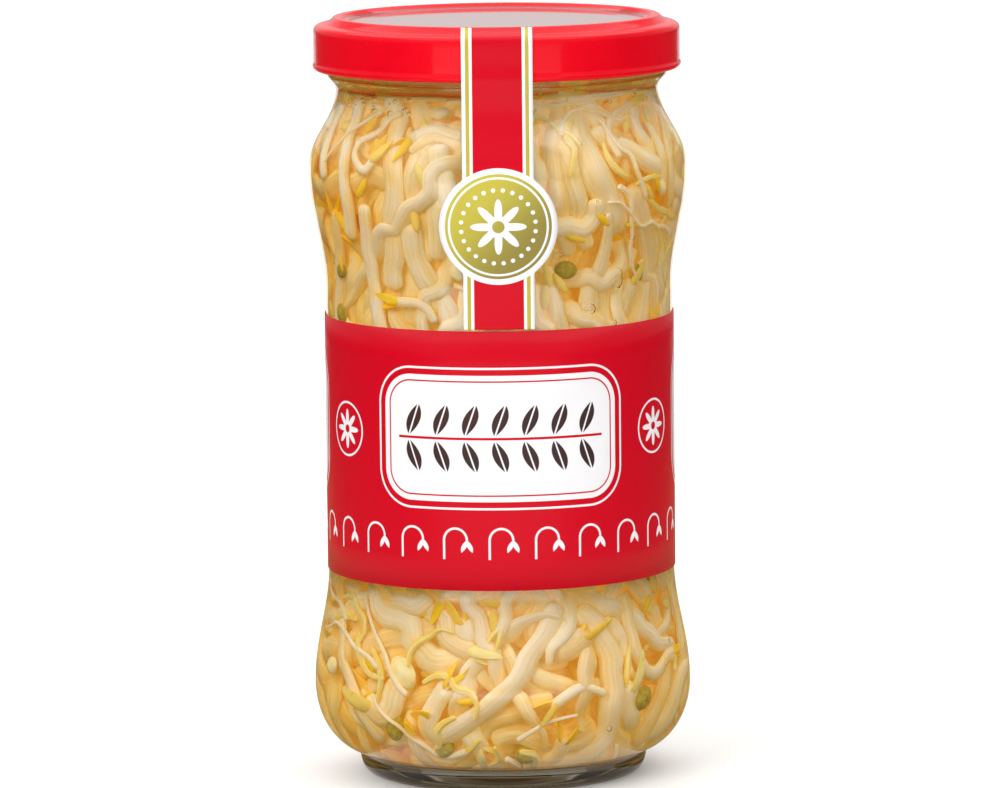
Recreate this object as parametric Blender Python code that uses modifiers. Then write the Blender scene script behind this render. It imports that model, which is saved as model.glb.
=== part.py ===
"""Jar of bean sprouts: a waisted glass jar with a twist-off lid, filled with sprouts in brine.

The jar stands on z = 0 with its axis on Z, and its seal strip faces -Y. Sizes are in metres.
"""

import math
import random

import bmesh
import bpy
from mathutils import Matrix, Vector

SEGMENTS = 32
GAP = 0.0003  # clearance between pieces that touch

# Glass: levels and outer radii of the waisted body, from the neck down
NECK_Z, NECK_R = 0.1302, 0.03045
SHOULDER_Z = 0.1160
UPPER_BULGE_Z = 0.1150
BULGE_R = 0.0357
WAIST_TOP_Z, WAIST_BOTTOM_Z, WAIST_R = 0.0930, 0.0400, 0.0328
LOWER_BULGE_Z = 0.0175
BODY = (
    (NECK_Z, NECK_R),
    (SHOULDER_Z, BULGE_R),
    (UPPER_BULGE_Z, BULGE_R),
    (WAIST_TOP_Z, WAIST_R),
    (WAIST_BOTTOM_Z, WAIST_R),
    (LOWER_BULGE_Z, BULGE_R),
)
WALL = 0.0024
FLOOR_Z = 0.0058
HEEL_R, HEEL_DROP = 0.0262, 0.0130  # centre radius of the outer heel and how far it curves down
INNER_HEEL_R = 0.0228
BASE_RING_R, BEARING_R, PUNT_R, PUNT_Z = 0.0270, 0.0245, 0.0225, 0.0020
BEAD_Z, BEAD_R = 0.1333, 0.0321
FINISH_R, LIP_Z = 0.0310, 0.1422
THREADS, THREAD_SWEEP, THREAD_POINTS = 4, math.radians(66), 6
THREAD_TOP_Z, THREAD_DROP, THREAD_DEPTH = 0.1394, 0.0018, 0.0007

# Lid: pressed from thin sheet, with a raised rim, a ledge and a curled edge
LID_TOP_Z, SHEET = 0.1440, 0.0005
PANEL_Z, PANEL_R = 0.1431, 0.0284
RIM_R, LEDGE_R, LEDGE_Z = 0.0310, 0.0322, 0.1426
SKIRT_R, CURL_Z, CURL_R = 0.0345, 0.1340, 0.03472
LID_LUGS, LUG_WIDTH, LUG_HEIGHT, LUG_TIP_R = 4, 0.0070, 0.0010, 0.0322
GASKET_INNER_R, GASKET_OUTER_R, GASKET_THICKNESS = 0.0296, 0.0309, 0.0007

# Contents
BRINE_Z, BRINE_SKIN = 0.1295, 0.0010
CORE_INSET, CORE_FLOOR, CORE_TOP_Z = 0.0034, 0.0013, 0.1215
SIDE_STEMS, TOP_STEMS, HEAD_EVERY = 62, 7, 5
STEM_POINTS, STEM_STEP, GOLDEN_TURN = 5, 0.0085, 137.5
STEM_LOW_Z, STEM_HIGH_Z = 0.0102, 0.1290
LEAF_WIDTH, LEAF_LENGTH = 1.45, 1.6  # of the stem's radius, and of the leaf's half width
SEED = 1

# Paper
LABEL_TOP_Z, LABEL_BOTTOM_Z, PAPER = 0.0880, 0.0395, 0.0003
STRIP_WIDTH, ROUNDEL_R, ROUNDEL_Z = 0.0131, 0.0109, 0.1076

# Sprouts seen through the front: (turn from the front in degrees, height), head first,
# then the radius of the stem
FRONT_STEMS = (
    (((-18, 0.0140), (-23, 0.0105), (-17, 0.0104), (-6, 0.0150), (4, 0.0210), (10, 0.0290), (14, 0.0350)), 0.0018),
    (((24, 0.0300), (32, 0.0240), (36, 0.0180), (30, 0.0120), (20, 0.0102), (8, 0.0102)), 0.0021),
    (((-62, 0.0300), (-58, 0.0220), (-52, 0.0150), (-42, 0.0102)), 0.0016),
    (((-52, 0.0220), (-28, 0.0260), (-8, 0.0275), (0, 0.0280)), 0.0020),
    (((-34, 0.1270), (-33, 0.1180), (-32, 0.1090), (-33, 0.0980), (-34, 0.0900)), 0.0019),
    (((-55, 0.1240), (-56, 0.1150), (-55, 0.1060), (-50, 0.0970), (-46, 0.0900)), 0.0015),
    (((-16, 0.1250), (-19, 0.1160), (-15, 0.1090), (-11, 0.1010)), 0.0019),
    (((24, 0.1260), (28, 0.1170), (33, 0.1080), (40, 0.0990)), 0.0022),
    (((52, 0.1080), (50, 0.0990), (47, 0.0920), (46, 0.0860)), 0.0022),
    (((40, 0.1180), (50, 0.1150), (58, 0.1130), (64, 0.1110)), 0.0018),
)


def clear_scene():
    for obj in list(bpy.data.objects):
        bpy.data.objects.remove(obj)


def new_collection(name):
    made = bpy.data.collections.new(name)
    bpy.context.scene.collection.children.link(made)
    return made


def material(name, colour, roughness, metallic=0.0, transmission=0.0):
    made = bpy.data.materials.new(name)
    made.use_nodes = True
    shader = made.node_tree.nodes["Principled BSDF"]
    shader.inputs["Base Color"].default_value = (*colour, 1.0)
    shader.inputs["Roughness"].default_value = roughness
    shader.inputs["Metallic"].default_value = metallic
    shader.inputs["Transmission Weight"].default_value = transmission
    return made


def mesh_object(name, mesh, collection, finish=None):
    made = bpy.data.objects.new(name, mesh)
    collection.objects.link(made)
    if finish:
        mesh.materials.append(finish)
    return made


def evaluated_mesh(obj):
    graph = bpy.context.evaluated_depsgraph_get()
    return bpy.data.meshes.new_from_object(obj.evaluated_get(graph))


def capped_mesh(obj):
    """A curve's mesh with its loose caps welded on."""
    mesh = evaluated_mesh(obj)
    work = bmesh.new()
    work.from_mesh(mesh)
    bmesh.ops.remove_doubles(work, verts=work.verts, dist=1e-6)
    work.to_mesh(mesh)
    work.free()
    return mesh


def eased(low, high, share):
    return low + (high - low) * (0.5 - 0.5 * math.cos(math.pi * share))


def body_radius(z):
    """Outer radius of the glass between the neck and the lower bulge."""
    for (high_z, high_r), (low_z, low_r) in zip(BODY, BODY[1:]):
        if z >= low_z:
            return eased(low_r, high_r, min(1.0, (z - low_z) / (high_z - low_z)))
    return BULGE_R


def body_levels():
    """Heights at which the body's section has a point, from the neck down."""
    steps = (5, 1, 4, 1, 4)
    levels = [NECK_Z]
    for (high_z, _), (low_z, _), count in zip(BODY, BODY[1:], steps):
        levels += [high_z + (low_z - high_z) * i / count for i in range(1, count + 1)]
    return levels


def arc(centre_r, centre_z, width, drop, start, end, steps):
    """Points on an ellipse's quarter, with angles in degrees from the widest point down."""
    turns = [math.radians(start + (end - start) * i / steps) for i in range(steps + 1)]
    return [(centre_r + width * math.cos(t), centre_z - drop * math.sin(t)) for t in turns]


def cavity(inset, floor_inset, top_z):
    """The jar's inside outline, set in by these distances, from the floor's centre to top_z."""
    width = BULGE_R - WALL - INNER_HEEL_R - inset
    drop = LOWER_BULGE_Z - FLOOR_Z - floor_inset
    heel = arc(INNER_HEEL_R, LOWER_BULGE_Z, width, drop, 90, 0, 4)
    levels = [z for z in reversed(body_levels()) if LOWER_BULGE_Z < z < top_z]
    wall = [(body_radius(z) - WALL - inset, z) for z in levels]
    top = (body_radius(min(top_z, NECK_Z)) - WALL - inset, top_z)
    return [(0.0, FLOOR_Z + floor_inset)] + heel + wall + [top]


def cavity_radius(z, inset, floor_inset):
    """Inside radius of the jar at this height, set in by these distances."""
    if z >= LOWER_BULGE_Z:
        return body_radius(min(z, NECK_Z)) - WALL - inset
    width = BULGE_R - WALL - INNER_HEEL_R - inset
    drop = LOWER_BULGE_Z - FLOOR_Z - floor_inset
    share = min(1.0, (LOWER_BULGE_Z - z) / drop)
    return INNER_HEEL_R + width * math.sqrt(1.0 - share * share)


def turned(name, section, collection, finish=None, ring=False):
    """Sweeps a half section of (radius, height) round the axis. Its outer side runs down."""
    mesh = bpy.data.meshes.new(name)
    edges = [(i, i + 1) for i in range(len(section) - 1)]
    if ring:
        edges.append((len(section) - 1, 0))
    mesh.from_pydata([(r, 0.0, z) for r, z in section], edges, [])
    obj = mesh_object(name, mesh, collection, finish)
    screw = obj.modifiers.new("Turn", "SCREW")
    screw.steps = screw.render_steps = SEGMENTS
    screw.use_merge_vertices = True
    screw.merge_threshold = 0.00001
    screw.use_smooth_shade = True
    return obj


def tube(name, points, radii, sides, collection):
    """A tube of four, six or eight sides through these points, as a mesh."""
    curve = bpy.data.curves.new(name, "CURVE")
    curve.dimensions = "3D"
    curve.bevel_depth = 1.0
    curve.bevel_resolution = (sides - 4) // 2
    curve.use_fill_caps = True
    spline = curve.splines.new("POLY")
    spline.points.add(len(points) - 1)
    for target, point, radius in zip(spline.points, points, radii):
        target.co = (*point, 1.0)
        target.radius = radius
    guide = mesh_object(name, curve, collection)
    made = mesh_object(name, capped_mesh(guide), collection)
    made.matrix_world = guide.matrix_world
    bpy.data.objects.remove(guide)
    return made


def outer_body_only(mesh):
    """Keeps the largest closed surface, which drops loose scraps and fills sealed hollows."""
    work = bmesh.new()
    work.from_mesh(mesh)
    bmesh.ops.triangulate(work, faces=work.faces)
    left = set(work.faces)
    islands = []
    while left:
        island, reached = set(), [left.pop()]
        while reached:
            face = reached.pop()
            island.add(face)
            plain = [edge for edge in face.edges if len(edge.link_faces) == 2]
            near = {other for edge in plain for other in edge.link_faces} & left
            left -= near
            reached += near
        islands.append(island)
    islands.sort(key=lambda faces: sum(face.calc_area() for face in faces))
    scraps = [face for island in islands[:-1] for face in island]
    bmesh.ops.delete(work, geom=scraps, context="FACES")
    work.to_mesh(mesh)
    work.free()


def fuse(obj, extras):
    """Joins every object of the collection to obj, and removes them."""
    join = obj.modifiers.new("Join", "BOOLEAN")
    join.operation = "UNION"
    join.operand_type = "COLLECTION"
    join.collection = extras
    bpy.context.view_layer.update()
    joined = evaluated_mesh(obj)
    outer_body_only(joined)
    obj.modifiers.clear()
    obj.data = joined
    for extra in list(extras.objects):
        bpy.data.objects.remove(extra)
    bpy.data.collections.remove(extras)


def shade(obj):
    obj.data.shade_smooth()
    obj.data.set_sharp_from_angle(angle=math.radians(40))


def around(radius, turn, z):
    """A point at this radius and height, turned from the front by this many degrees."""
    return Vector((radius * math.sin(math.radians(turn)), -radius * math.cos(math.radians(turn)), z))


def glass_jar(parts):
    finish = material("jar_glass", (0.92, 0.96, 0.94), 0.03, transmission=1.0)
    inside = cavity(0.0, 0.0, NECK_Z)
    mouth_r = NECK_R - WALL
    lip = [(mouth_r, LIP_Z - 0.0010), (mouth_r + 0.0004, LIP_Z - 0.0002), (mouth_r + 0.0010, LIP_Z)]
    lip += [(FINISH_R - 0.0008, LIP_Z), (FINISH_R - 0.0002, LIP_Z - 0.0002), (FINISH_R, LIP_Z - 0.0008)]
    bead = [(FINISH_R, BEAD_Z + 0.0014), (BEAD_R - 0.0002, BEAD_Z + 0.0006), (BEAD_R, BEAD_Z)]
    bead += [(BEAD_R - 0.0004, BEAD_Z - 0.0009), (NECK_R + 0.0004, NECK_Z + 0.0009)]
    body = [(body_radius(z), z) for z in body_levels()]
    heel = arc(HEEL_R, LOWER_BULGE_Z, BULGE_R - HEEL_R, HEEL_DROP, 14, 80, 5)
    base = [(BASE_RING_R + 0.0002, 0.0038), (BASE_RING_R + 0.0002, 0.0030)]
    base += arc(BEARING_R, 0.0024, BASE_RING_R - BEARING_R, 0.0024, 12, 90, 3)
    base += [(PUNT_R, 0.0), (PUNT_R - 0.0015, 0.0008), (0.0, PUNT_Z)]
    jar = turned("glass_jar", inside + lip + bead + body + heel + base, parts, finish)
    threads = new_collection("threads")
    for i in range(THREADS):
        start = 2 * math.pi * i / THREADS
        shares = [j / (THREAD_POINTS - 1) for j in range(THREAD_POINTS)]
        turns = [math.degrees(start + THREAD_SWEEP * s) for s in shares]
        points = [around(FINISH_R, t, THREAD_TOP_Z - THREAD_DROP * s) for t, s in zip(turns, shares)]
        radii = [THREAD_DEPTH * (0.6 + 0.5 * math.sin(math.pi * s)) for s in shares]
        tube(f"thread_{i}", points, radii, 4, threads)
    fuse(jar, threads)
    shade(jar)


def lid(parts):
    finish = material("lid_lacquer", (0.72, 0.0, 0.012), 0.22, metallic=0.2)
    inner_skirt = SKIRT_R - SHEET
    outside = [(0.0, PANEL_Z), (PANEL_R, PANEL_Z), (PANEL_R + 0.0012, LID_TOP_Z), (RIM_R, LID_TOP_Z)]
    outside += [(LEDGE_R - 0.0004, LEDGE_Z + 0.0002), (LEDGE_R + 0.0012, LEDGE_Z - 0.0002)]
    outside += arc(SKIRT_R - 0.0012, LEDGE_Z - 0.0016, 0.0012, -0.0014, 75, 0, 3)
    curl_width, curl_middle = 0.0008, CURL_Z + 0.0008
    curl_centre = CURL_R - curl_width
    curl = arc(curl_centre, curl_middle, curl_width, curl_width, -40, 220, 7)
    inside = [(inner_skirt, CURL_Z + 0.0018), (inner_skirt, LEDGE_Z - 0.0014), (inner_skirt - 0.0008, LEDGE_Z - 0.0006)]
    inside += [(LEDGE_R - 0.0006, LEDGE_Z - SHEET + 0.0001), (RIM_R + 0.0003, LID_TOP_Z - SHEET)]
    inside += [(PANEL_R + 0.0008, LID_TOP_Z - SHEET), (PANEL_R + 0.0001, PANEL_Z - SHEET), (0.0, PANEL_Z - SHEET)]
    cap = turned("lid", outside + curl + inside, parts, finish)
    lugs = new_collection("lugs")
    depth = curl_centre - LUG_TIP_R
    for i in range(LID_LUGS):
        mesh = bpy.data.meshes.new(f"lug_{i}")
        work = bmesh.new()
        bmesh.ops.create_cube(work, size=1.0)
        bmesh.ops.scale(work, vec=(depth, LUG_WIDTH, LUG_HEIGHT), verts=work.verts)
        work.to_mesh(mesh)
        work.free()
        lug = mesh_object(f"lug_{i}", mesh, lugs)
        turn = 2 * math.pi * (i + 0.5) / LID_LUGS
        place = Matrix.Translation((curl_centre - depth / 2, 0.0, curl_middle))
        lug.matrix_world = Matrix.Rotation(turn, 4, "Z") @ place
    fuse(cap, lugs)
    shade(cap)


def lid_gasket(parts):
    finish = material("gasket_compound", (0.80, 0.78, 0.72), 0.6)
    low = LIP_Z + GAP
    high = low + GASKET_THICKNESS
    section = [(GASKET_INNER_R, high), (GASKET_OUTER_R, high), (GASKET_OUTER_R, low), (GASKET_INNER_R, low)]
    turned("lid_gasket", section, parts, finish, ring=True)


def brine(parts):
    """The liquid, with one plain well that the sprouts stand in."""
    finish = material("brine", (0.90, 0.74, 0.42), 0.0, transmission=1.0)
    outside = cavity(GAP, GAP, BRINE_Z)
    well = cavity(GAP + BRINE_SKIN, GAP + BRINE_SKIN, BRINE_Z)
    turned("brine", well + outside[::-1], parts, finish)


def room_in_well(z, radius):
    """How far from the axis a piece of this radius can lie at this height, clear of the well's wall."""
    inset = GAP + BRINE_SKIN
    low, high = (cavity_radius(max(FLOOR_Z + inset, z + end), inset, inset) for end in (-radius, radius))
    return min(low, high) - 2 * GAP - radius


def stem_radial(z, radius, lift):
    """How far from the axis a stem runs: proud of the core, and clear of the well's wall."""
    core = cavity_radius(z, GAP + BRINE_SKIN + CORE_INSET, GAP + BRINE_SKIN + CORE_FLOOR)
    return min(core + lift, room_in_well(z, radius))


def side_stem(draw, index):
    """A stem that grows up the side of the tangle, more upright near the top."""
    turn = GOLDEN_TURN * index + draw.uniform(-6, 6)
    z = STEM_LOW_Z + (STEM_HIGH_Z - STEM_LOW_Z) * ((index + 0.5) / SIDE_STEMS)
    upright = z / STEM_HIGH_Z
    heading = draw.gauss(math.pi / 2, 1.3 - 0.8 * upright) if index % 2 else draw.uniform(0, math.pi)
    bend = draw.uniform(-0.5, 0.5) * (1.5 - upright)
    radius = draw.uniform(0.0017, 0.0024)
    points = []
    for i in range(STEM_POINTS):
        share = i / (STEM_POINTS - 1)
        lift = draw.uniform(0.0007, 0.0016) - 0.0080 * max(0.0, share - 0.75)
        reach = stem_radial(z, radius, lift)
        points.append(around(reach, turn, z))
        turn += math.degrees(STEM_STEP * math.cos(heading) / reach)
        z = min(STEM_HIGH_Z, max(STEM_LOW_Z, z - STEM_STEP * math.sin(heading)))
        heading += bend
    return points, radius


def top_stem(draw, index):
    """A stem that lies across the top of the tangle."""
    turn = 360.0 * index / TOP_STEMS
    radius = draw.uniform(0.0013, 0.0019)
    spread = draw.uniform(100, 165)
    reach = stem_radial(CORE_TOP_Z, radius, 0.0)
    start, end = around(reach - 0.0006, turn, 0.0), around(reach - 0.0006, turn + spread, 0.0)
    points = []
    for i in range(STEM_POINTS):
        share = i / (STEM_POINTS - 1)
        flat = start.lerp(end, share)
        rise = (0.0012 + 0.0030 * (index % 3) / 2) * math.sin(math.pi * share)
        points.append(Vector((flat.x, flat.y, CORE_TOP_Z + rise)))
    return points, radius


def cotyledons(draw, name, points, radius, collection):
    """The two seed leaves at a stem's head, side by side and a little open."""
    tip, after = points[0], points[1]
    along = (tip - after).normalized()
    out = Vector((tip.x, tip.y, 0.0)).normalized()
    across = along.cross(out).normalized()
    wide = radius * LEAF_WIDTH
    length = wide * LEAF_LENGTH
    for side in (-1, 1):
        mesh = bpy.data.meshes.new(name)
        work = bmesh.new()
        bmesh.ops.create_uvsphere(work, u_segments=6, v_segments=4, radius=1.0)
        work.to_mesh(mesh)
        work.free()
        leaf = mesh_object(f"{name}_{side}", mesh, collection)
        lean = (along + across * side * draw.uniform(0.15, 0.45)).normalized()
        beside = lean.cross(out).normalized()
        middle = tip + lean * wide * 0.9 + across * side * wide * 0.45
        middle.z = max(middle.z, FLOOR_Z + BRINE_SKIN + 2 * GAP + length)
        flat = math.hypot(middle.x, middle.y)
        room = min(flat, room_in_well(middle.z, length))
        middle = Vector((middle.x * room / flat, middle.y * room / flat, middle.z))
        turn = Matrix((beside, out, lean)).transposed().to_4x4()
        size = Matrix.Diagonal((wide * 0.62, wide * 0.8, length, 1.0))
        leaf.matrix_world = Matrix.Translation(middle) @ turn @ size


def sprouts(parts):
    """The packed tangle: a smaller core that stems and seed leaves stand out of, all one body."""
    finish = material("sprout_flesh", (0.78, 0.62, 0.36), 0.45)
    section = cavity(GAP + BRINE_SKIN + CORE_INSET, GAP + BRINE_SKIN + CORE_FLOOR, CORE_TOP_Z)
    tangle = turned("sprouts", ([(0.0, CORE_TOP_Z)] + section[::-1]), parts, finish)
    strands = new_collection("strands")
    draw = random.Random(SEED)
    stems = []
    for route, radius in FRONT_STEMS:
        last = len(route) - 1
        points = [
            around(stem_radial(z, radius, 0.0018 - (0.0040 if i == last else 0.0)), turn, z)
            for i, (turn, z) in enumerate(route)
        ]
        stems.append((points, radius))
    stems += [side_stem(draw, i) for i in range(SIDE_STEMS)]
    stems += [top_stem(draw, i) for i in range(TOP_STEMS)]
    for i, (points, radius) in enumerate(stems):
        last = len(points) - 1
        radii = [radius * (1.0 - 0.45 * (j / last) ** 2) for j in range(last + 1)]
        tube(f"stem_{i}", points, radii, 6 if i < len(FRONT_STEMS) else 4, strands)
        if i % HEAD_EVERY == 0:
            cotyledons(draw, f"leaf_{i}", points, radius, strands)
    fuse(tangle, strands)
    shade(tangle)


def label(parts):
    finish = material("label_paper", (0.74, 0.0, 0.012), 0.5)
    inner = WAIST_R + GAP
    outer = inner + PAPER
    section = [(outer, LABEL_TOP_Z), (outer, LABEL_BOTTOM_Z), (inner, LABEL_BOTTOM_Z), (inner, LABEL_TOP_Z)]
    turned("label", section, parts, finish, ring=True)


def beside(line, distance):
    """The line moved outwards by this distance, along the mean normal at each point."""
    moved = []
    for i, (r, z) in enumerate(line):
        before, after = line[max(0, i - 1)], line[min(len(line) - 1, i + 1)]
        run = Vector((after[0] - before[0], after[1] - before[1])).normalized()
        moved.append((r - run.y * distance, z + run.x * distance))
    return moved


def strip_line():
    """The paper's route from the lid's rim over the ledge and skirt to the top of the label."""
    lid_face = [(RIM_R + 0.0005, LID_TOP_Z - 0.0004), (LEDGE_R + 0.0001, LEDGE_Z + 0.0005)]
    lid_face += [(LEDGE_R + 0.0016, LEDGE_Z + 0.0001), (SKIRT_R + 0.00035, LEDGE_Z - 0.0013)]
    lid_face += [(CURL_R + GAP, CURL_Z + 0.0012), (CURL_R + GAP, CURL_Z + 0.0002)]
    bridge = [(SKIRT_R + 0.0001, 0.1300), (SKIRT_R + 0.0004, 0.1250)]
    bulge = [z for z in body_levels() if WAIST_TOP_Z <= z <= UPPER_BULGE_Z]
    glass = [(body_radius(z) + GAP, z) for z in (0.1195, 0.1170, *bulge)]
    return lid_face + bridge + glass + [(WAIST_R + GAP, LABEL_TOP_Z + GAP)]


def strip_outline():
    """Front view of the strip: a band that widens into a disc. (x, z), going round once."""
    half = STRIP_WIDTH / 2
    open_from = math.acos(half / ROUNDEL_R)
    steps = 10
    turns = [open_from - 2 * open_from * i / steps for i in range(steps + 1)]
    right = [(ROUNDEL_R * math.cos(t), ROUNDEL_Z + ROUNDEL_R * math.sin(t)) for t in turns]
    right = [(half, LID_TOP_Z + 0.005)] + right + [(half, LABEL_TOP_Z - 0.005)]
    return right + [(-x, z) for x, z in reversed(right)]


def seal_strip(parts, cutters):
    """One die-cut piece of paper that holds the lid to the jar."""
    finish = material("strip_paper", (0.72, 0.0, 0.012), 0.5)
    inner = strip_line()
    section = beside(inner, PAPER) + inner[::-1]
    strip = turned("seal_strip", section, parts, finish, ring=True)
    curve = bpy.data.curves.new("strip_outline", "CURVE")
    curve.dimensions = "2D"
    curve.fill_mode = "BOTH"
    curve.extrude = 0.015
    spline = curve.splines.new("POLY")
    outline = strip_outline()
    spline.points.add(len(outline) - 1)
    spline.use_cyclic_u = True
    for target, (x, z) in zip(spline.points, outline):
        target.co = (x, z, 0.0, 1.0)
    guide = mesh_object("strip_outline_guide", curve, cutters)
    guide.matrix_world = Matrix.Translation((0.0, -0.030, 0.0)) @ Matrix.Rotation(math.pi / 2, 4, "X")
    bpy.context.view_layer.update()
    cutter = mesh_object("strip_outline", capped_mesh(guide), cutters)
    cutter.matrix_world = guide.matrix_world
    bpy.data.objects.remove(guide)
    cutter.hide_render = True
    cutter.display_type = "WIRE"
    cut = strip.modifiers.new("Die cut", "BOOLEAN")
    cut.operation = "INTERSECT"
    cut.object = cutter


def main():
    clear_scene()
    parts = new_collection("jar_of_bean_sprouts")
    cutters = new_collection("cutters")
    glass_jar(parts)
    lid(parts)
    lid_gasket(parts)
    brine(parts)
    sprouts(parts)
    label(parts)
    seal_strip(parts, cutters)


main()
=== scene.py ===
"""Jar of bean sprouts: glass, lacquered lid, printed papers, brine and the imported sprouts.

All sizes are in metres, in the frame of the solids. The seal strip faces -Y.
"""

import math
import random

import bmesh
import bpy
import numpy as np
from bpy.props import FloatProperty, FloatVectorProperty, IntProperty, PointerProperty
from mathutils import Matrix, Vector, kdtree


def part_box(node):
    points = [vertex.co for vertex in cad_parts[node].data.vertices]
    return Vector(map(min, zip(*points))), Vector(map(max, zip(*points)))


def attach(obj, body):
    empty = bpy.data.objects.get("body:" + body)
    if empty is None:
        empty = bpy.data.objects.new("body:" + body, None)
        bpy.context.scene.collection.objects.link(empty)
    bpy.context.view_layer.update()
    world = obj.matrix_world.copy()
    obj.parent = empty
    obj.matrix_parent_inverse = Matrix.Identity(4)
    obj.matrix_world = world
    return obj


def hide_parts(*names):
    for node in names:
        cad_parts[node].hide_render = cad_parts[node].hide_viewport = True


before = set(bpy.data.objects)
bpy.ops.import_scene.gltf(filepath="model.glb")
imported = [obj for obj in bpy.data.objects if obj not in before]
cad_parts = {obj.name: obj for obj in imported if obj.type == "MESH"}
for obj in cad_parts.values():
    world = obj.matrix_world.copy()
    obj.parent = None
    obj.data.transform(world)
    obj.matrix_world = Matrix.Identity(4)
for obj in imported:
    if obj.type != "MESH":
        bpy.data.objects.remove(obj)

bl_info = {
    "name": "Jar of bean sprouts",
    "version": (1, 0, 0),
    "blender": (4, 5, 0),
    "location": "3D View > Sidebar > Sprout jar",
    "description": "Dresses a glass jar of bean sprouts in brine",
    "category": "Add Mesh",
}

JAR_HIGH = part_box("glass_jar")[1]
LID_LOW, LID_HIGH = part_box("lid")
LABEL_LOW, LABEL_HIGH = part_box("label")
STRIP_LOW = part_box("seal_strip")[0]
BRINE_LOW, BRINE_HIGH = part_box("brine")
TURN_STEPS = 192
SHARP_ANGLE = math.radians(42)
UP = Vector((0.0, 0.0, 1.0))
PAPER_GAP, PAPER_THICKNESS = 0.00012, 0.00012
SOLID_GAP = 0.0003

# Glass: the levels where the body's outline turns, from the neck down
BULGE_R = JAR_HIGH.x
WAIST_R = LABEL_HIGH.x - 2 * SOLID_GAP
NECK_Z, NECK_R = 0.1302, 0.03045
SHOULDER_Z, UPPER_BULGE_Z = 0.1160, 0.1150
WAIST_TOP_Z, WAIST_BOTTOM_Z = 0.0930, 0.0400
LOWER_BULGE_Z = 0.0175
BODY = (
    (NECK_Z, NECK_R),
    (SHOULDER_Z, BULGE_R),
    (UPPER_BULGE_Z, BULGE_R),
    (WAIST_TOP_Z, WAIST_R),
    (WAIST_BOTTOM_Z, WAIST_R),
    (LOWER_BULGE_Z, BULGE_R),
)
WALL = BULGE_R - BRINE_HIGH.x - SOLID_GAP
FLOOR_Z = BRINE_LOW.z - SOLID_GAP
HEEL_R, HEEL_DROP, INNER_HEEL_R = 0.0262, 0.0130, 0.0228
BASE_RING_R, BEARING_R, PUNT_R, PUNT_Z = 0.0270, 0.0245, 0.0225, 0.0020
BEAD_Z, BEAD_R, FINISH_R = 0.1333, 0.0321, 0.0310
THREADS, THREAD_SWEEP, THREAD_MIDDLE_Z, THREAD_DROP = 4, math.radians(66), 0.1385, 0.0018
THREAD_BAND, THREAD_HALF, THREAD_HIGH = 0.003, 0.0009, 0.0008
RIBS, RIB_DEPTH, RIB_TOP_Z = 96, 0.00012, 0.0021

# Lid
PANEL_Z, PANEL_R, SHEET = 0.1431, 0.0284, 0.0004
RIM_R, LEDGE_R, LEDGE_Z, SKIRT_R = 0.0310, 0.0322, 0.1426, 0.0345
CURL_R, CURL_SIZE = LID_HIGH.x, 0.0008
LUG_REACH, LUG_HALF, LUG_END = 0.0012, 0.0026, 0.0042

# Contents
BRINE_IOR, GLASS_IOR = 1.333, 1.5
BRINE_TOP_Z = BRINE_HIGH.z + 0.0050
BEAD_SPACING = 0.0026  # between the points that a strand is packed by
CORE_DEPTH = 0.0098  # how far the hidden middle of the tangle lies behind the glass
LAYERS = ((0.0020, 215), (0.0054, 190), (0.0088, 110))  # depth behind the glass, and strands
TRIES = 7  # routes drawn for each strand, of which the one with most room is kept
LEFT_SHARE, LEFT_SETBACK = 0.45, 0.0018  # first-layer strands at the left side start deeper
ROOTS, CURLS, BITS, CROSSING, CROSSING_AT_TOP = 22, 46, 150, 46, 30
GOLDEN_TURN, GOLDEN_SHARE = math.radians(137.5), 0.618
RANDOM_BUBBLES, BUBBLES_AT_SURFACE = 110, 80
PACKED_SHARE = 0.62  # of a loose bit's half length, for the bead that it is packed by
BIT_SHARES = {"half": (1.0, 0.72, 0.55), "hull": (1.0, 0.8, 0.5), "leaf": (1.5, 0.55, 0.4)}

# How readily what the photograph shows gives way to other strands
STRAND_WEIGHT, LEAF_WEIGHT, BIT_WEIGHT = 0.08, 0.45, 0.05

# Packing: how stiffly a bead keeps its gap to the next one, and to the second and fourth after it
LINK_STIFFNESS, NEAR_BRACE, FAR_BRACE = 0.5, 0.35, 0.2
# How strongly photographed strands return to their places, and others to their depth
HOME_PULL, DEPTH_PULL = 0.02, 0.05
WALL_CLEARANCE = 0.00025
SEARCH_MARGIN, SEARCH_EVERY = 0.0006, 6  # for pairs that may touch, every so many rounds

# Strip and its round seal
ROUNDEL_Z, ROUNDEL_R = 0.1076, 0.0109
STRIP_HALF = 0.00655
SEAL_DOTS, SEAL_DOTS_R = 24, 0.0069
INK_DARK = (0.030, 0.026, 0.024)

# Stage: dark cards upright beside the jar, dark cards flat on the floor that only the glass shows, as
# painted shade, the sky, and the lamps
CARD_X, CARD_FRONT_Y, CARD_BACK_Y, CARD_TOP_Z = 0.24, -0.30, 0.55, 0.15
LYING_Z, FOOT_X, FOOT_Y = 0.0004, 0.028, 0.030
FLOOR_HALF = 9.0
SKY, SKY_STRENGTH = (1.0, 0.99, 0.975, 1.0), 0.43
JAR_MIDDLE = (0.0, 0.0, 0.075)
# Name, place, target, width and height, watts, and whether shiny surfaces show it
LAMPS = (
    ("front_left", (-0.85, -1.15, 0.75), JAR_MIDDLE, (0.7, 0.9), 11.2, False),
    ("front_right", (1.0, -0.95, 0.45), JAR_MIDDLE, (0.35, 0.9), 4.4, False),
    ("overhead", (0.0, 0.6, 2.5), (0.0, 0.6, 0.0), (4.5, 4.5), 115.0, True),
    ("backdrop", (0.0, 3.2, 0.8), JAR_MIDDLE, (3.0, 1.2), 3.6, True),
)

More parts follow.
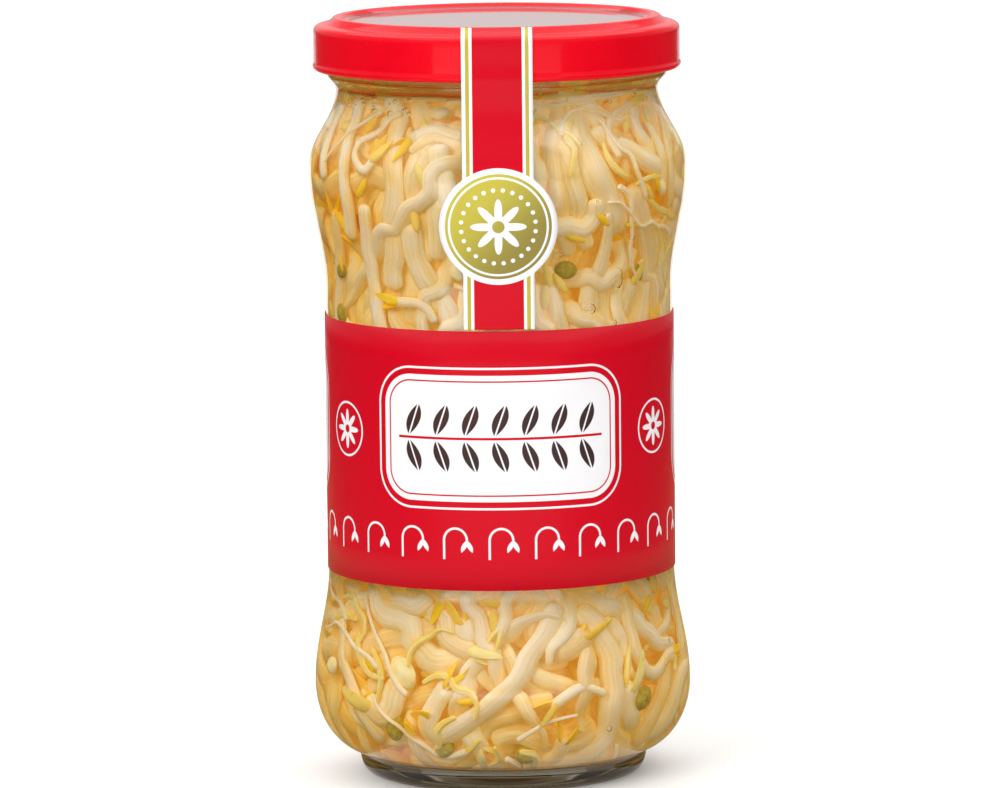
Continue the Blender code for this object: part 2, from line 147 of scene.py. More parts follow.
# The photograph's camera, and its frame in pixels
PHOTO_WIDTH, PHOTO_HEIGHT = 1000, 788
EYE = Vector((0.0, -1.276, 0.243))
PITCH, ROLL = math.radians(7.635), math.radians(0.57)
FOCAL_PIXELS = 6790.0
SENSOR_MM = 36.0
PIXELS_PER_METRE = 5430.0

# Strands that the photograph shows at the glass: width in pixels at both ends, depth in
# millimetres behind the first layer, whether a pair of seed leaves sits at the first point,
# and the route in pixels
PHOTO_STRANDS = (
    ((16, 20), 0, 1, ((447, 690), (428, 722), (437, 737), (463, 726), (499, 698), (524, 672),
                      (545, 642), (556, 612))),
    ((24, 20), 0, 0, ((581, 617), (606, 644), (616, 675), (609, 708), (593, 737), (566, 753), (530, 758))),
    ((14, 16), 0, 0, ((341, 612), (346, 662), (356, 698), (378, 733))),
    ((22, 24), 1, 0, ((351, 657), (415, 634), (479, 622), (520, 600))),
    ((20, 22), 3, 0, ((376, 700), (443, 693), (504, 667), (560, 655))),
    ((15, 12), 2, 0, ((536, 679), (588, 688), (630, 676))),
    ((16, 23), 2, 0, ((500, 726), (545, 735), (590, 734))),
    ((20, 17), 2, 0, ((456, 745), (504, 718), (548, 700))),
    ((11, 8), 0, 1, ((555, 705), (578, 690), (603, 694))),
    ((5, 3), 0, 0, ((519, 738), (548, 722), (577, 715))),
    ((14, 13), 0, 0, ((421, 742), (432, 758), (456, 763), (492, 757))),
    ((12, 14), 0, 1, ((499, 634), (507, 606), (520, 580), (536, 555))),
    ((13, 14), 1, 1, ((443, 603), (452, 580), (470, 556))),
    ((12, 15), 1, 1, ((642, 597), (628, 580), (612, 555))),
    ((12, 13), 0, 1, ((672, 652), (654, 676), (640, 660), (632, 632), (622, 600))),
    ((15, 18), 1, 0, ((655, 612), (668, 656), (660, 700), (640, 730))),
    ((20, 22), 0, 0, ((391, 102), (394, 143), (395, 194), (394, 240), (393, 282))),
    ((14, 16), 0, 0, ((357, 104), (347, 143), (346, 198), (350, 232))),
    ((8, 8), 0, 1, ((371, 163), (362, 174), (352, 162), (357, 147), (379, 136), (400, 124))),
    ((5, 3), 0, 0, ((379, 115), (358, 129), (336, 148), (324, 164))),
    ((12, 13), 0, 0, ((339, 112), (325, 143), (323, 176))),
    ((9, 9), 0, 1, ((407, 145), (431, 134), (456, 142))),
    ((10, 10), 1, 0, ((415, 158), (431, 143), (451, 143), (464, 155))),
    ((20, 22), 0, 0, ((436, 156), (448, 194), (465, 234), (470, 262))),
    ((14, 16), 0, 0, ((364, 208), (369, 258), (376, 306), (384, 345))),
    ((20, 24), 0, 0, ((407, 229), (420, 267), (446, 313), (466, 350))),
    ((13, 16), 1, 1, ((426, 187), (434, 222), (438, 252))),
    ((9, 8), 0, 1, ((396, 302), (420, 304), (434, 320))),
    ((30, 32), 0, 0, ((574, 118), (587, 160), (605, 196), (616, 222))),
    ((18, 19), 0, 0, ((597, 137), (626, 151), (656, 168))),
    ((9, 9), 0, 1, ((630, 108), (613, 124), (612, 144), (622, 162))),
    ((15, 15), 0, 0, ((664, 118), (671, 160), (671, 200))),
    ((26, 33), 0, 0, ((629, 196), (649, 246), (642, 290), (634, 330))),
    ((6, 30), 0, 0, ((611, 211), (600, 262), (588, 306), (580, 345))),
    ((12, 12), 1, 1, ((652, 130), (664, 160), (664, 190))),
    ((13, 15), 1, 1, ((549, 286), (556, 312), (566, 345))),
    ((12, 12), 1, 1, ((659, 262), (668, 292), (664, 322))),
    ((14, 16), 1, 0, ((560, 105), (556, 150), (560, 200), (568, 250))),
    ((15, 16), 1, 1, ((334, 214), (340, 262), (338, 310), (344, 345))),
)
# Half beans, seed hulls and loose seed leaves at the glass: pixel, width in pixels, and kind
PHOTO_BITS = (
    ((401, 676), 36, "half"), ((331, 667), 24, "half"), ((462, 268), 20, "half"),
    ((392, 722), 27, "hull"), ((643, 698), 27, "hull"), ((442, 741), 22, "hull"), ((527, 750), 22, "hull"),
    ((640, 269), 20, "hull"), ((566, 270), 24, "hull"), ((339, 268), 20, "hull"), ((662, 186), 18, "half"),
    ((360, 187), 15, "leaf"), ((370, 128), 18, "leaf"), ((372, 150), 14, "leaf"), ((413, 213), 17, "leaf"),
    ((340, 263), 13, "leaf"), ((427, 310), 16, "leaf"), ((420, 137), 14, "leaf"), ((630, 133), 17, "leaf"),
    ((660, 183), 16, "leaf"), ((647, 195), 14, "leaf"), ((607, 213), 14, "leaf"), ((573, 237), 15, "leaf"),
    ((543, 297), 18, "leaf"), ((557, 284), 17, "leaf"), ((632, 223), 13, "leaf"), ((503, 607), 17, "leaf"),
    ((497, 630), 17, "leaf"), ((448, 690), 16, "leaf"), ((464, 698), 14, "leaf"), ((678, 657), 13, "leaf"),
    ((667, 607), 13, "leaf"), ((648, 603), 15, "leaf"), ((368, 667), 13, "leaf"), ((332, 600), 14, "leaf"),
)
# Air bubbles at the glass: pixel, width and height in pixels
PHOTO_BUBBLES = (((617, 277), 15, 26), ((590, 309), 14, 14), ((560, 252), 8, 9), ((632, 236), 7, 8))


class JarSizes(bpy.types.PropertyGroup):
    """Sizes of the glass that a maker may vary a little."""

    glass_steps: IntProperty(
        name="Turning steps", description="Facets round the glass", default=TURN_STEPS, min=48)
    waviness: FloatProperty(
        name="Waviness", description="Depth of the glass's slow ripples", default=0.05, min=0.0, max=1.0)


class SproutLook(bpy.types.PropertyGroup):
    """How the sprouts grow, pack and look."""

    seed: IntProperty(name="Seed", description="Start of the random draws", default=7)
    rounds: IntProperty(
        name="Packing rounds", description="How often the strands are pushed apart", default=90)
    flesh: FloatVectorProperty(
        name="Flesh", description="Colour of the stems", subtype="COLOR",
        default=(0.90, 0.67, 0.43), min=0, max=1)
    pale: FloatVectorProperty(
        name="Pale flesh", description="Colour of the whitest stems", subtype="COLOR",
        default=(0.91, 0.80, 0.74), min=0, max=1)
    leaf: FloatVectorProperty(
        name="Seed leaf", description="Colour of the seed leaves", subtype="COLOR",
        default=(0.98, 0.60, 0.02), min=0, max=1)
    hull: FloatVectorProperty(
        name="Hull", description="Colour of the loose seed hulls", subtype="COLOR",
        default=(0.50, 0.36, 0.03), min=0, max=1)


class PaperLook(bpy.types.PropertyGroup):
    """Inks of the label and the strip."""

    red: FloatVectorProperty(
        name="Red", description="Ground colour of both papers", subtype="COLOR",
        default=(0.56, 0.001, 0.012), min=0, max=1)
    white: FloatVectorProperty(
        name="White", description="Unprinted paper", subtype="COLOR",
        default=(0.82, 0.83, 0.85), min=0, max=1)
    gold: FloatVectorProperty(
        name="Gold", description="Metallic ink", subtype="COLOR", default=(0.42, 0.36, 0.03), min=0, max=1)


class StageLook(bpy.types.PropertyGroup):
    """The studio round the jar."""

    light: FloatProperty(name="Light", description="Strength of all the lamps", default=1.0, min=0.0)


class SproutJar(bpy.types.PropertyGroup):
    """Everything that a user would change."""

    jar: PointerProperty(type=JarSizes)
    sprouts: PointerProperty(type=SproutLook)
    papers: PointerProperty(type=PaperLook)
    stage: PointerProperty(type=StageLook)


class Value:
    """A socket that carries a number. Expressions on it add Math nodes."""

    def __init__(self, finish, socket):
        self.finish = finish
        self.socket = socket

    def math(self, operation, *others, flip=False):
        """A Math node on this and the others. flip puts this one last."""
        inputs = [self, *others]
        if flip:
            inputs.reverse()
        return self.finish.node("ShaderNodeMath", {"operation": operation}, dict(enumerate(inputs)))[0]

    def __add__(self, other):
        return self.math("ADD", other)

    __radd__ = __add__

    def __sub__(self, other):
        return self.math("SUBTRACT", other)

    def __rsub__(self, other):
        return self.math("SUBTRACT", other, flip=True)

    def __mul__(self, other):
        return self.math("MULTIPLY", other)

    __rmul__ = __mul__

    def __truediv__(self, other):
        return self.math("DIVIDE", other)

    def __rtruediv__(self, other):
        return self.math("DIVIDE", other, flip=True)

    def __abs__(self):
        return self.math("ABSOLUTE")

    def step(self, low, high):
        """0 below low and 1 above high, with a smooth rise between them."""
        inputs = {"Value": self, "From Min": low, "From Max": high}
        settings = {"interpolation_type": "SMOOTHSTEP"}
        return self.finish.node("ShaderNodeMapRange", settings, inputs)["Result"]

    def within(self, low, high, blur):
        """1 between low and high."""
        return self.step(low - blur, low + blur) * (1 - self.step(high - blur, high + blur))


class Outputs:
    """A node's output sockets, by place or name."""

    def __init__(self, finish, node):
        self.finish = finish
        self.node = node

    def __getitem__(self, key):
        return Value(self.finish, self.node.outputs[key])


class Finish:
    """A material and the short way to add its nodes."""

    def __init__(self, name, **shader):
        self.material = bpy.data.materials.new(name)
        self.material.use_nodes = True
        self.tree = self.material.node_tree
        self.shader = self.tree.nodes["Principled BSDF"]
        self.feed(self.shader, shader)

    def feed(self, node, inputs):
        """Links or sets a node's sockets, by place or name. An underscore stands for a space."""
        for key, given in inputs.items():
            socket = node.inputs[key.replace("_", " ") if isinstance(key, str) else key]
            if isinstance(given, Value):
                self.tree.links.new(given.socket, socket)
            elif socket.type == "RGBA" and len(given) == 3:
                socket.default_value = (*given, 1.0)
            else:
                socket.default_value = given

    def node(self, kind, settings=None, inputs=None):
        """Any node: its type, its settings, which are set first, and its inputs."""
        made = self.tree.nodes.new(kind)
        for key, setting in (settings or {}).items():
            setattr(made, key, setting)
        self.feed(made, inputs or {})
        return Outputs(self, made)

    def mix(self, share, first, second):
        """Between two colours. Sockets 6 and 7 of a Mix node are its colours, output 2 the result."""
        return self.node("ShaderNodeMix", {"data_type": "RGBA"}, {0: share, 6: first, 7: second})[2]

    def noise(self, place, scale, detail=2.0):
        """Cloudy values round 0.5."""
        return self.node("ShaderNodeTexNoise", {}, {"Vector": place, "Scale": scale, "Detail": detail})[0]

    def stretched(self, place, factors):
        """A place with each axis scaled by its own factor."""
        return self.node("ShaderNodeVectorMath", {"operation": "MULTIPLY"}, {0: place, 1: factors})[0]

    def place(self):
        """The place on the piece, in its own metres."""
        return self.node("ShaderNodeTexCoord")["Object"]

    def split(self, place):
        """The three parts of a place, by axis."""
        return self.node("ShaderNodeSeparateXYZ", {}, {0: place})

    def attribute(self, name):
        """A value stored at the points of the mesh."""
        return self.node("ShaderNodeAttribute", {"attribute_name": name})["Fac"]

    def bump(self, height, strength, distance):
        """Lets a height bend the shading."""
        inputs = {"Height": height, "Strength": strength, "Distance": distance}
        self.feed(self.shader, {"Normal": self.node("ShaderNodeBump", {}, inputs)[0]})


def distance(across, up):
    """Length of a step that has these two parts."""
    return (across * across + up * up).math("SQRT")


def eased(low, high, share):
    """From low to high, slow at both ends."""
    return low + (high - low) * (0.5 - 0.5 * math.cos(math.pi * share))


def body_radius(z):
    """Outer radius of the glass between the neck and the lower bulge."""
    for (high_z, high_r), (low_z, low_r) in zip(BODY, BODY[1:]):
        if z >= low_z:
            return eased(low_r, high_r, min(1.0, (z - low_z) / (high_z - low_z)))
    return BULGE_R


def outside_radius(z):
    """Outer radius of the glass at any height of the body or the heel."""
    if z >= LOWER_BULGE_Z:
        return body_radius(z)
    share = min(0.98, (LOWER_BULGE_Z - z) / HEEL_DROP)
    return HEEL_R + (BULGE_R - HEEL_R) * math.sqrt(1.0 - share * share)


def body_levels(step=0.0012):
    """Heights for the points of the body's outline, from the neck down to the lower bulge."""
    count = round((NECK_Z - LOWER_BULGE_Z) / step)
    return [NECK_Z + (LOWER_BULGE_Z - NECK_Z) * i / count for i in range(count + 1)]


def arc(centre_r, centre_z, width, drop, start, end, steps):
    """Points on an ellipse, with angles in degrees from its widest point down."""
    turns = [math.radians(start + (end - start) * i / steps) for i in range(steps + 1)]
    return [(centre_r + width * math.cos(t), centre_z - drop * math.sin(t)) for t in turns]


def cavity(inset, top_z):
    """The jar's inside outline, set in by this distance, from the floor's centre up to top_z."""
    width = BULGE_R - WALL - INNER_HEEL_R - inset
    drop = LOWER_BULGE_Z - FLOOR_Z - inset
    heel = arc(INNER_HEEL_R, LOWER_BULGE_Z, width, drop, 90, 0, 18)
    floor = [(INNER_HEEL_R * i / 6, FLOOR_Z + inset) for i in range(6)]
    levels = [z for z in reversed(body_levels()) if LOWER_BULGE_Z + 0.0001 < z < top_z - 0.0001]
    wall = [(body_radius(z) - WALL - inset, z) for z in levels]
    return floor + heel + wall + [(body_radius(min(top_z, NECK_Z)) - WALL - inset, top_z)]


def cavity_radius(z, inset):
    """Inside radius of the jar at this height, set in by this distance. z may be an array."""
    z = np.asarray(z, float)
    levels = np.array([level for level, _ in BODY])
    radii = np.array([radius for _, radius in BODY])
    place = np.clip(np.searchsorted(-levels, -z, side="right") - 1, 0, len(levels) - 2)
    share = np.clip((z - levels[place + 1]) / (levels[place] - levels[place + 1]), 0.0, 1.0)
    low, high = radii[place + 1], radii[place]
    body = low + (high - low) * (0.5 - 0.5 * np.cos(np.pi * share)) - WALL - inset
    width = BULGE_R - WALL - INNER_HEEL_R - inset
    drop = LOWER_BULGE_Z - FLOOR_Z - inset
    down = np.clip((LOWER_BULGE_Z - z) / drop, 0.0, 1.0)
    heel = INNER_HEEL_R + width * np.sqrt(1.0 - down * down)
    return np.where(z < LOWER_BULGE_Z, heel, body)


def new_piece(name, points, faces, finish, replaces=()):
    """A smooth-shaded mesh object that rides on the jar."""
    mesh = bpy.data.meshes.new(name)
    mesh.from_pydata([tuple(p) for p in points], [], [tuple(f) for f in faces])
    mesh.validate()
    mesh.shade_smooth()
    mesh.set_sharp_from_angle(angle=SHARP_ANGLE)
    mesh.materials.append(finish.material)
    piece = bpy.data.objects.new(name, mesh)
    bpy.context.scene.collection.objects.link(piece)
    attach(piece, "root")
    if replaces:
        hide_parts(*replaces)
    return piece


def lathe(section, steps, relief=None):
    """Points and faces of a section of (radius, height) swept round the axis.

    The section's outer side runs down. relief(turn, radius, height) gives the radius at a turn.
    """
    points, rows, faces = [], [], []
    for radius, z in section:
        if radius < 1e-6:
            rows.append([len(points)] * steps)
            points.append((0.0, 0.0, z))
            continue
        rows.append(list(range(len(points), len(points) + steps)))
        for i in range(steps):
            turn = 2 * math.pi * i / steps
            reach = relief(turn, radius, z) if relief else radius
            points.append((reach * math.cos(turn), reach * math.sin(turn), z))
    for upper, lower in zip(rows, rows[1:]):
        for i in range(steps):
            j = (i + 1) % steps
            corners = list(dict.fromkeys((upper[i], lower[i], lower[j], upper[j])))
            if len(corners) > 2:
                faces.append(corners)
    return points, faces


def smooth_share(value, low, high):
    """0 below low and 1 above high, with a smooth rise between them."""
    share = min(1.0, max(0.0, (value - low) / (high - low)))
    return share * share * (3 - 2 * share)


def glass_relief(turn, radius, z):
    """Thread runs on the finish and the fine ribs of the bearing ring."""
    if radius > FINISH_R - 0.0002 and THREAD_MIDDLE_Z - THREAD_BAND < z < THREAD_MIDDLE_Z + THREAD_BAND:
        run = turn % (2 * math.pi / THREADS)
        share = run / THREAD_SWEEP
        if share < 1:
            off = (z - THREAD_MIDDLE_Z - THREAD_DROP * (0.5 - share)) / THREAD_HALF
            swell = THREAD_HIGH * math.sqrt(max(0.0, 1 - off * off))
            return radius + swell * min(1.0, 6 * share, 6 * (1 - share))
    if z < RIB_TOP_Z and radius > PUNT_R:
        return radius + RIB_DEPTH * math.sin(RIBS * turn) * smooth_share(RIB_TOP_Z - z, 0.0, 0.0008)
    return radius


def glass_finish(look):
    """Clear glass with slow ripples, and a foot tinted dark brown: partly the thick glass's own tint and
    partly painted shade under the jar.
    """
    finish = Finish("jar_glass", Roughness=0.0, IOR=GLASS_IOR, Transmission_Weight=1.0)
    # The foot's dark brown is partly the glass's own tint and partly painted shade of the jar's base.
    foot = 1 - finish.split(finish.place())["Z"].step(0.002, 0.0065)
    finish.feed(finish.shader, {"Base Color": finish.mix(foot, (0.97, 0.98, 0.96), (0.10, 0.075, 0.03))})
    ripple = finish.noise(finish.stretched(finish.place(), (1.0, 1.0, 0.35)), 60.0, 1.0)
    finish.bump(ripple, look.waviness, 0.0004)
    return finish


def mouth_section():
    """The neck's inner wall, the lip, the threads' band and the bead, from the inside over the top."""
    lip_z = JAR_HIGH.z
    mouth_r = NECK_R - WALL
    neck = [(mouth_r, NECK_Z + (lip_z - 0.0016 - NECK_Z) * i / 8) for i in range(1, 9)]
    lip = arc(mouth_r + 0.0014, lip_z - 0.0014, 0.0014, 0.0014, 180, 270, 5)[1:]
    lip += arc(FINISH_R - 0.0009, lip_z - 0.0009, 0.0009, 0.0009, 270, 360, 4)
    thread = [(FINISH_R, THREAD_MIDDLE_Z + 0.0030 - 0.0003 * i) for i in range(21)]
    bead = [(FINISH_R, BEAD_Z + 0.0018), (FINISH_R + 0.0002, BEAD_Z + 0.0014)]
    bead += arc(BEAD_R - 0.0011, BEAD_Z, 0.0011, 0.0011, -70, 50, 8)
    bead += [(NECK_R + 0.0005, NECK_Z + 0.0014), (NECK_R + 0.0001, NECK_Z + 0.0006)]
    return neck + lip + thread + bead


def base_section():
    """The heel, the bearing ring and the pushed-up base, from the lower bulge to the middle."""
    heel = arc(HEEL_R, LOWER_BULGE_Z, BULGE_R - HEEL_R, HEEL_DROP, 6, 80, 18)
    ring = [(BASE_RING_R + 0.0004, 0.0041), (BASE_RING_R + 0.0002, 0.0036)]
    ring += [(BASE_RING_R + 0.0002, 0.0030)]
    ring += arc(BEARING_R, 0.0024, BASE_RING_R - BEARING_R, 0.0024, 8, 90, 8)
    ring += [(PUNT_R + 0.0008, 0.0), (PUNT_R, 0.0001)]
    ring += [(PUNT_R - 0.0008, 0.0006), (PUNT_R - 0.0018, 0.0010)]
    punt = [(PUNT_R * share, PUNT_Z - 0.0010 * share * share) for share in (0.75, 0.5, 0.25, 0.0)]
    return heel + ring + punt


class JAR_OT_glass(bpy.types.Operator):
    """Blow the waisted glass jar"""

    bl_idname = "sprout_jar.glass"
    bl_label = "Glass jar"

    def execute(self, context):
        look = context.scene.sprout_jar.jar
        body = [(body_radius(z), z) for z in body_levels()]
        section = cavity(0.0, NECK_Z) + mouth_section() + body + base_section()
        points, faces = lathe(section, look.glass_steps, glass_relief)
        jar = new_piece("jar", points, faces, glass_finish(look), ["glass_jar"])
        jar.visible_shadow = False  # so that the lamps reach the sprouts
        return {"FINISHED"}


def lid_relief(turn, radius, z):
    """Four lugs, where the curled edge is pressed inwards."""
    inner = radius < CURL_R - CURL_SIZE and z < LID_LOW.z + 2.2 * CURL_SIZE
    if not inner:
        return radius
    off = abs((turn + math.pi / 4) % (math.pi / 2) - math.pi / 4) * CURL_R
    return radius - LUG_REACH * (1 - smooth_share(off, LUG_HALF, LUG_END))


def lid_finish():
    """Red lacquer, glossier on the panel, with the panel painted a darker brownish red as painted shade,
    and pale compound on the inside.
    """
    finish = Finish(
        "lid_lacquer", Roughness=0.30, Specular_IOR_Level=0.10, Coat_Weight=0.25, Coat_Roughness=0.06)
    place = finish.place()
    blotch = finish.noise(place, 55.0, 3.0)
    split = finish.split(place)
    within = 1 - distance(split["X"], split["Y"]).step(PANEL_R - 0.0002, PANEL_R + 0.0004)
    panel = within * split["Z"].step(PANEL_Z - 0.0003, PANEL_Z - 0.0002)
    red = finish.mix(blotch.step(0.35, 0.7), (0.76, 0.002, 0.012), (0.70, 0.001, 0.010))
    base = finish.mix(finish.attribute("inside"), red, (0.95, 0.72, 0.34))
    # The panel's dark brownish red is painted shade that holds back the light from above; its extra coat
    # is real gloss.
    finish.feed(finish.shader, {"Base Color": finish.mix(panel, base, (0.30, 0.03, 0.03))})
    finish.feed(finish.shader, {"Roughness": 0.20 + 0.10 * finish.noise(place, 400.0, 2.0)})
    finish.feed(finish.shader, {"Coat Weight": 0.25 + 0.75 * panel})
    finish.bump(finish.noise(place, 900.0, 2.0), 0.06, 0.0001)
    return finish


def lid_sections():
    """The lid's outside, its curled edge and its inside, from the middle out and back."""
    top, low = LID_HIGH.z, LID_LOW.z
    outside = [(PANEL_R * i / 6, PANEL_Z) for i in range(6)]
    outside += arc(PANEL_R - 0.0004, PANEL_Z + 0.0004, 0.0004, 0.0004, 90, 30, 3)
    outside += arc(PANEL_R + 0.0013, top - 0.0005, 0.0007, 0.0005, 200, 270, 4)
    outside += arc(RIM_R - 0.0006, top - 0.0006, 0.0006, 0.0006, 270, 335, 4)
    outside += arc(LEDGE_R + 0.0002, LEDGE_Z + 0.0006, 0.0006, 0.0005, 150, 95, 4)
    outside += [(LEDGE_R + 0.0009, LEDGE_Z)]
    outside += arc(SKIRT_R - 0.0011, LEDGE_Z - 0.0013, 0.0011, 0.0012, -80, 0, 7)
    outside += [(SKIRT_R, LEDGE_Z - 0.0013 - 0.0008 * i) for i in range(1, 7)]
    outside += [(SKIRT_R, low + 0.0018)]
    curl = arc(CURL_R - CURL_SIZE, low + CURL_SIZE, CURL_SIZE, CURL_SIZE, -45, 240, 16)
    inner = SKIRT_R - SHEET
    inside = [(inner, low + 0.0020), (inner, LEDGE_Z - 0.0014), (inner - 0.0008, LEDGE_Z - 0.0006)]
    inside += [(LEDGE_R - 0.0006, LEDGE_Z - SHEET + 0.0001), (RIM_R - 0.0002, top - SHEET - 0.0003)]
    inside += [(PANEL_R + 0.0010, top - SHEET - 0.0003), (PANEL_R + 0.0001, PANEL_Z - SHEET)]
    inside += [(0.0, PANEL_Z - SHEET)]
    return outside, curl, inside


class JAR_OT_lid(bpy.types.Operator):
    """Press the lacquered twist-off lid and its gasket"""

    bl_idname = "sprout_jar.lid"
    bl_label = "Lid"

    def execute(self, context):
        outside, curl, inside = lid_sections()
        section = outside + curl + inside
        points, faces = lathe(section, TURN_STEPS, lid_relief)
        lid = new_piece("twist_off_lid", points, faces, lid_finish(), ["lid"])
        turn_counts = [1 if radius < 1e-6 else TURN_STEPS for radius, _ in section]
        first_inside = len(outside) + len(curl) // 2
        marks = [float(row >= first_inside) for row, count in enumerate(turn_counts) for _ in range(count)]
        lid.data.attributes.new("inside", "FLOAT", "POINT").data.foreach_set("value", marks)
        compound = Finish("gasket_compound", Base_Color=(0.80, 0.78, 0.72), Roughness=0.55)
        compound.bump(compound.noise(compound.place(), 700.0), 0.1, 0.0001)
        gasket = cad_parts["lid_gasket"]
        gasket.data.materials.clear()
        gasket.data.materials.append(compound.material)
        return {"FINISHED"}


def camera_axes():
    """The photograph's camera: its sight line, right and up, with its slight roll."""
    sight = Vector((0.0, math.cos(PITCH), -math.sin(PITCH)))
    level = Vector((1.0, 0.0, 0.0))
    upright = level.cross(sight)
    right = level * math.cos(ROLL) - upright * math.sin(ROLL)
    return sight, right, right.cross(sight)


def meet(origin, ray, radius_at):
    """Where the ray enters a turned surface, found from its radius at the height of each try."""
    z = origin.z
    flat = ray.x * ray.x + ray.y * ray.y
    reach = 0.0
    for _ in range(4):
        radius = radius_at(z)
        half = origin.x * ray.x + origin.y * ray.y
        rest = origin.x ** 2 + origin.y ** 2 - radius * radius
        reach = (-half - math.sqrt(max(0.0, half * half - flat * rest))) / flat
        z = origin.z + ray.z * reach
    return origin + ray * reach


def refracted(ray, normal, ratio):
    """The ray bent at a surface whose normal faces it. ratio is the old index over the new one."""
    facing = -normal.dot(ray)
    left = max(0.0, 1.0 - ratio * ratio * (1.0 - facing * facing))
    return (ray * ratio + normal * (ratio * facing - math.sqrt(left))).normalized()


def behind_glass(pixel, depth):
    """The point this far behind the inner wall that the photograph shows at a pixel."""
    sight, right, up = camera_axes()
    off_x, off_y = pixel[0] - PHOTO_WIDTH / 2, PHOTO_HEIGHT / 2 - pixel[1]
    ray = (sight * FOCAL_PIXELS + right * off_x + up * off_y).normalized()
    outer = meet(EYE, ray, outside_radius)
    normal = Vector((outer.x, outer.y, 0.0)).normalized()
    ray = refracted(ray, normal, 1.0 / GLASS_IOR)
    inner = meet(outer, ray, lambda z: float(cavity_radius(z, 0.0)))
    normal = Vector((inner.x, inner.y, 0.0)).normalized()
    ray = refracted(ray, normal, GLASS_IOR / BRINE_IOR)
    outward = -max(0.3, -ray.dot(normal))
    return inner + ray * (depth / -outward)


class Strands:
    """Chains of beads that are packed into the jar. Each chain becomes a stem, a root or a bit."""

    def __init__(self):
        self.chains = []

    def add(self, points, radii, kind, head=False, weight=1.0, depth=None):
        """points are a rough route. It is cut into beads an even distance apart."""
        route = [Vector(p) for p in points]
        if len(route) > 1:
            route = spread(route, BEAD_SPACING)
        count = len(route)
        places = [i / max(1, count - 1) for i in range(count)]
        width = [float(np.interp(p, np.linspace(0, 1, len(radii)), radii)) for p in places]
        self.chains.append({
            "points": np.array([tuple(p) for p in route]), "radii": np.array(width), "kind": kind,
            "head": head, "weight": weight, "depth": depth,
        })


def spread(points, spacing):
    """Points an even distance apart along a smooth curve through these."""
    fine = []
    for i in range(len(points) - 1):
        before, start = points[max(0, i - 1)], points[i]
        end, after = points[i + 1], points[min(len(points) - 1, i + 2)]
        for j in range(8):
            t = j / 8
            square = (2 * before - 5 * start + 4 * end - after) * t ** 2
            cube = (3 * start - before - 3 * end + after) * t ** 3
            fine.append(0.5 * (2 * start + (end - before) * t + square + cube))
    fine.append(points[-1])
    lengths = np.concatenate([[0.0], np.cumsum([(b - a).length for a, b in zip(fine, fine[1:])])])
    count = max(2, round(lengths[-1] / spacing) + 1)
    coordinates = np.array([tuple(p) for p in fine])
    wanted = np.linspace(0.0, lengths[-1], count)
    axes = [np.interp(wanted, lengths, coordinates[:, axis]) for axis in range(3)]
    return [Vector(place) for place in zip(*axes)]


def near_pairs(points, radii, owner):
    """Beads of different chains that are close enough to touch before the next search."""
    tree = kdtree.KDTree(len(points))
    for i, point in enumerate(points):
        tree.insert(point, i)
    tree.balance()
    widest = radii.max()
    found = []
    for i, point in enumerate(points):
        near = tree.find_range(point, radii[i] + widest + SEARCH_MARGIN)
        found += [(i, j) for _, j, _ in near if j > i and owner[i] != owner[j]]
    return np.array(found).reshape(-1, 2)


def pack(chains, rounds, floor, ceiling):
    """Pushes the beads apart and off the glass, while each chain keeps its length and stiffness."""
    points = np.concatenate([c["points"] for c in chains])
    radii = np.concatenate([c["radii"] for c in chains])
    owner = np.concatenate([np.full(len(c["points"]), i) for i, c in enumerate(chains)])
    weight = np.concatenate([np.full(len(c["points"]), c["weight"]) for c in chains])
    depths = [np.nan if c["depth"] is None else c["depth"] for c in chains]
    depth = np.concatenate([np.full(len(c["points"]), d) for c, d in zip(chains, depths)])
    home = points.copy()
    order = np.arange(len(points))
    links, braces = [], []
    for near, found in ((1, links), (2, braces), (4, braces)):
        joined = order[:-near][owner[:-near] == owner[near:]]
        gap = np.linalg.norm(points[joined + near] - points[joined], axis=1)
        found.append((joined, joined + near, gap))
    for turn in range(rounds):
        if turn % SEARCH_EVERY == 0:
            pairs = near_pairs(points, radii, owner)
        push = np.zeros_like(points)
        count = np.zeros(len(points))
        first, second = pairs[:, 0], pairs[:, 1]
        gap = points[second] - points[first]
        apart = np.linalg.norm(gap, axis=1) + 1e-9
        over = radii[first] + radii[second] - apart
        hit = over > 0
        first, second, gap, apart, over = first[hit], second[hit], gap[hit], apart[hit], over[hit]
        share = weight[first] / (weight[first] + weight[second])
        move = gap / apart[:, None] * over[:, None]
        np.add.at(push, first, -move * share[:, None])
        np.add.at(push, second, move * (1 - share)[:, None])
        np.add.at(count, first, 1)
        np.add.at(count, second, 1)
        points = points + push / np.maximum(1.0, 0.6 * count)[:, None]
        for _ in range(2):
            holds = ((braces[0], NEAR_BRACE), (braces[1], FAR_BRACE), (links[0], LINK_STIFFNESS))
            for (a, b, rest), stiffness in holds:
                gap = points[b] - points[a]
                apart = np.linalg.norm(gap, axis=1) + 1e-9
                move = gap * ((apart - rest) / apart * 0.5 * stiffness)[:, None]
                np.add.at(points, a, move)
                np.add.at(points, b, -move)
        points = points + (home - points) * (HOME_PULL * (weight < 0.5))[:, None]
        points[:, 2] = np.clip(points[:, 2], floor + radii, ceiling - radii)
        flat = np.hypot(points[:, 0], points[:, 1]) + 1e-9
        near_wall = cavity_radius(points[:, 2] - radii * 0.5, 0.0)
        near_wall = np.minimum(near_wall, cavity_radius(points[:, 2] + radii * 0.5, 0.0))
        most = near_wall - radii - WALL_CLEARANCE
        wanted = np.where(np.isnan(depth), flat, flat + DEPTH_PULL * (most - depth - flat))
        inner = cavity_radius(points[:, 2], CORE_DEPTH) - radii * 0.3
        inner = np.where((points[:, 2] > ceiling - 0.012) | (points[:, 2] < floor + 0.006), 0.0, inner)
        limited = np.minimum(np.maximum(wanted, inner), most)
        points[:, :2] *= (limited / flat)[:, None]
    start = 0
    for chain in chains:
        end = start + len(chain["points"])
        chain["points"] = points[start:end]
        start = end


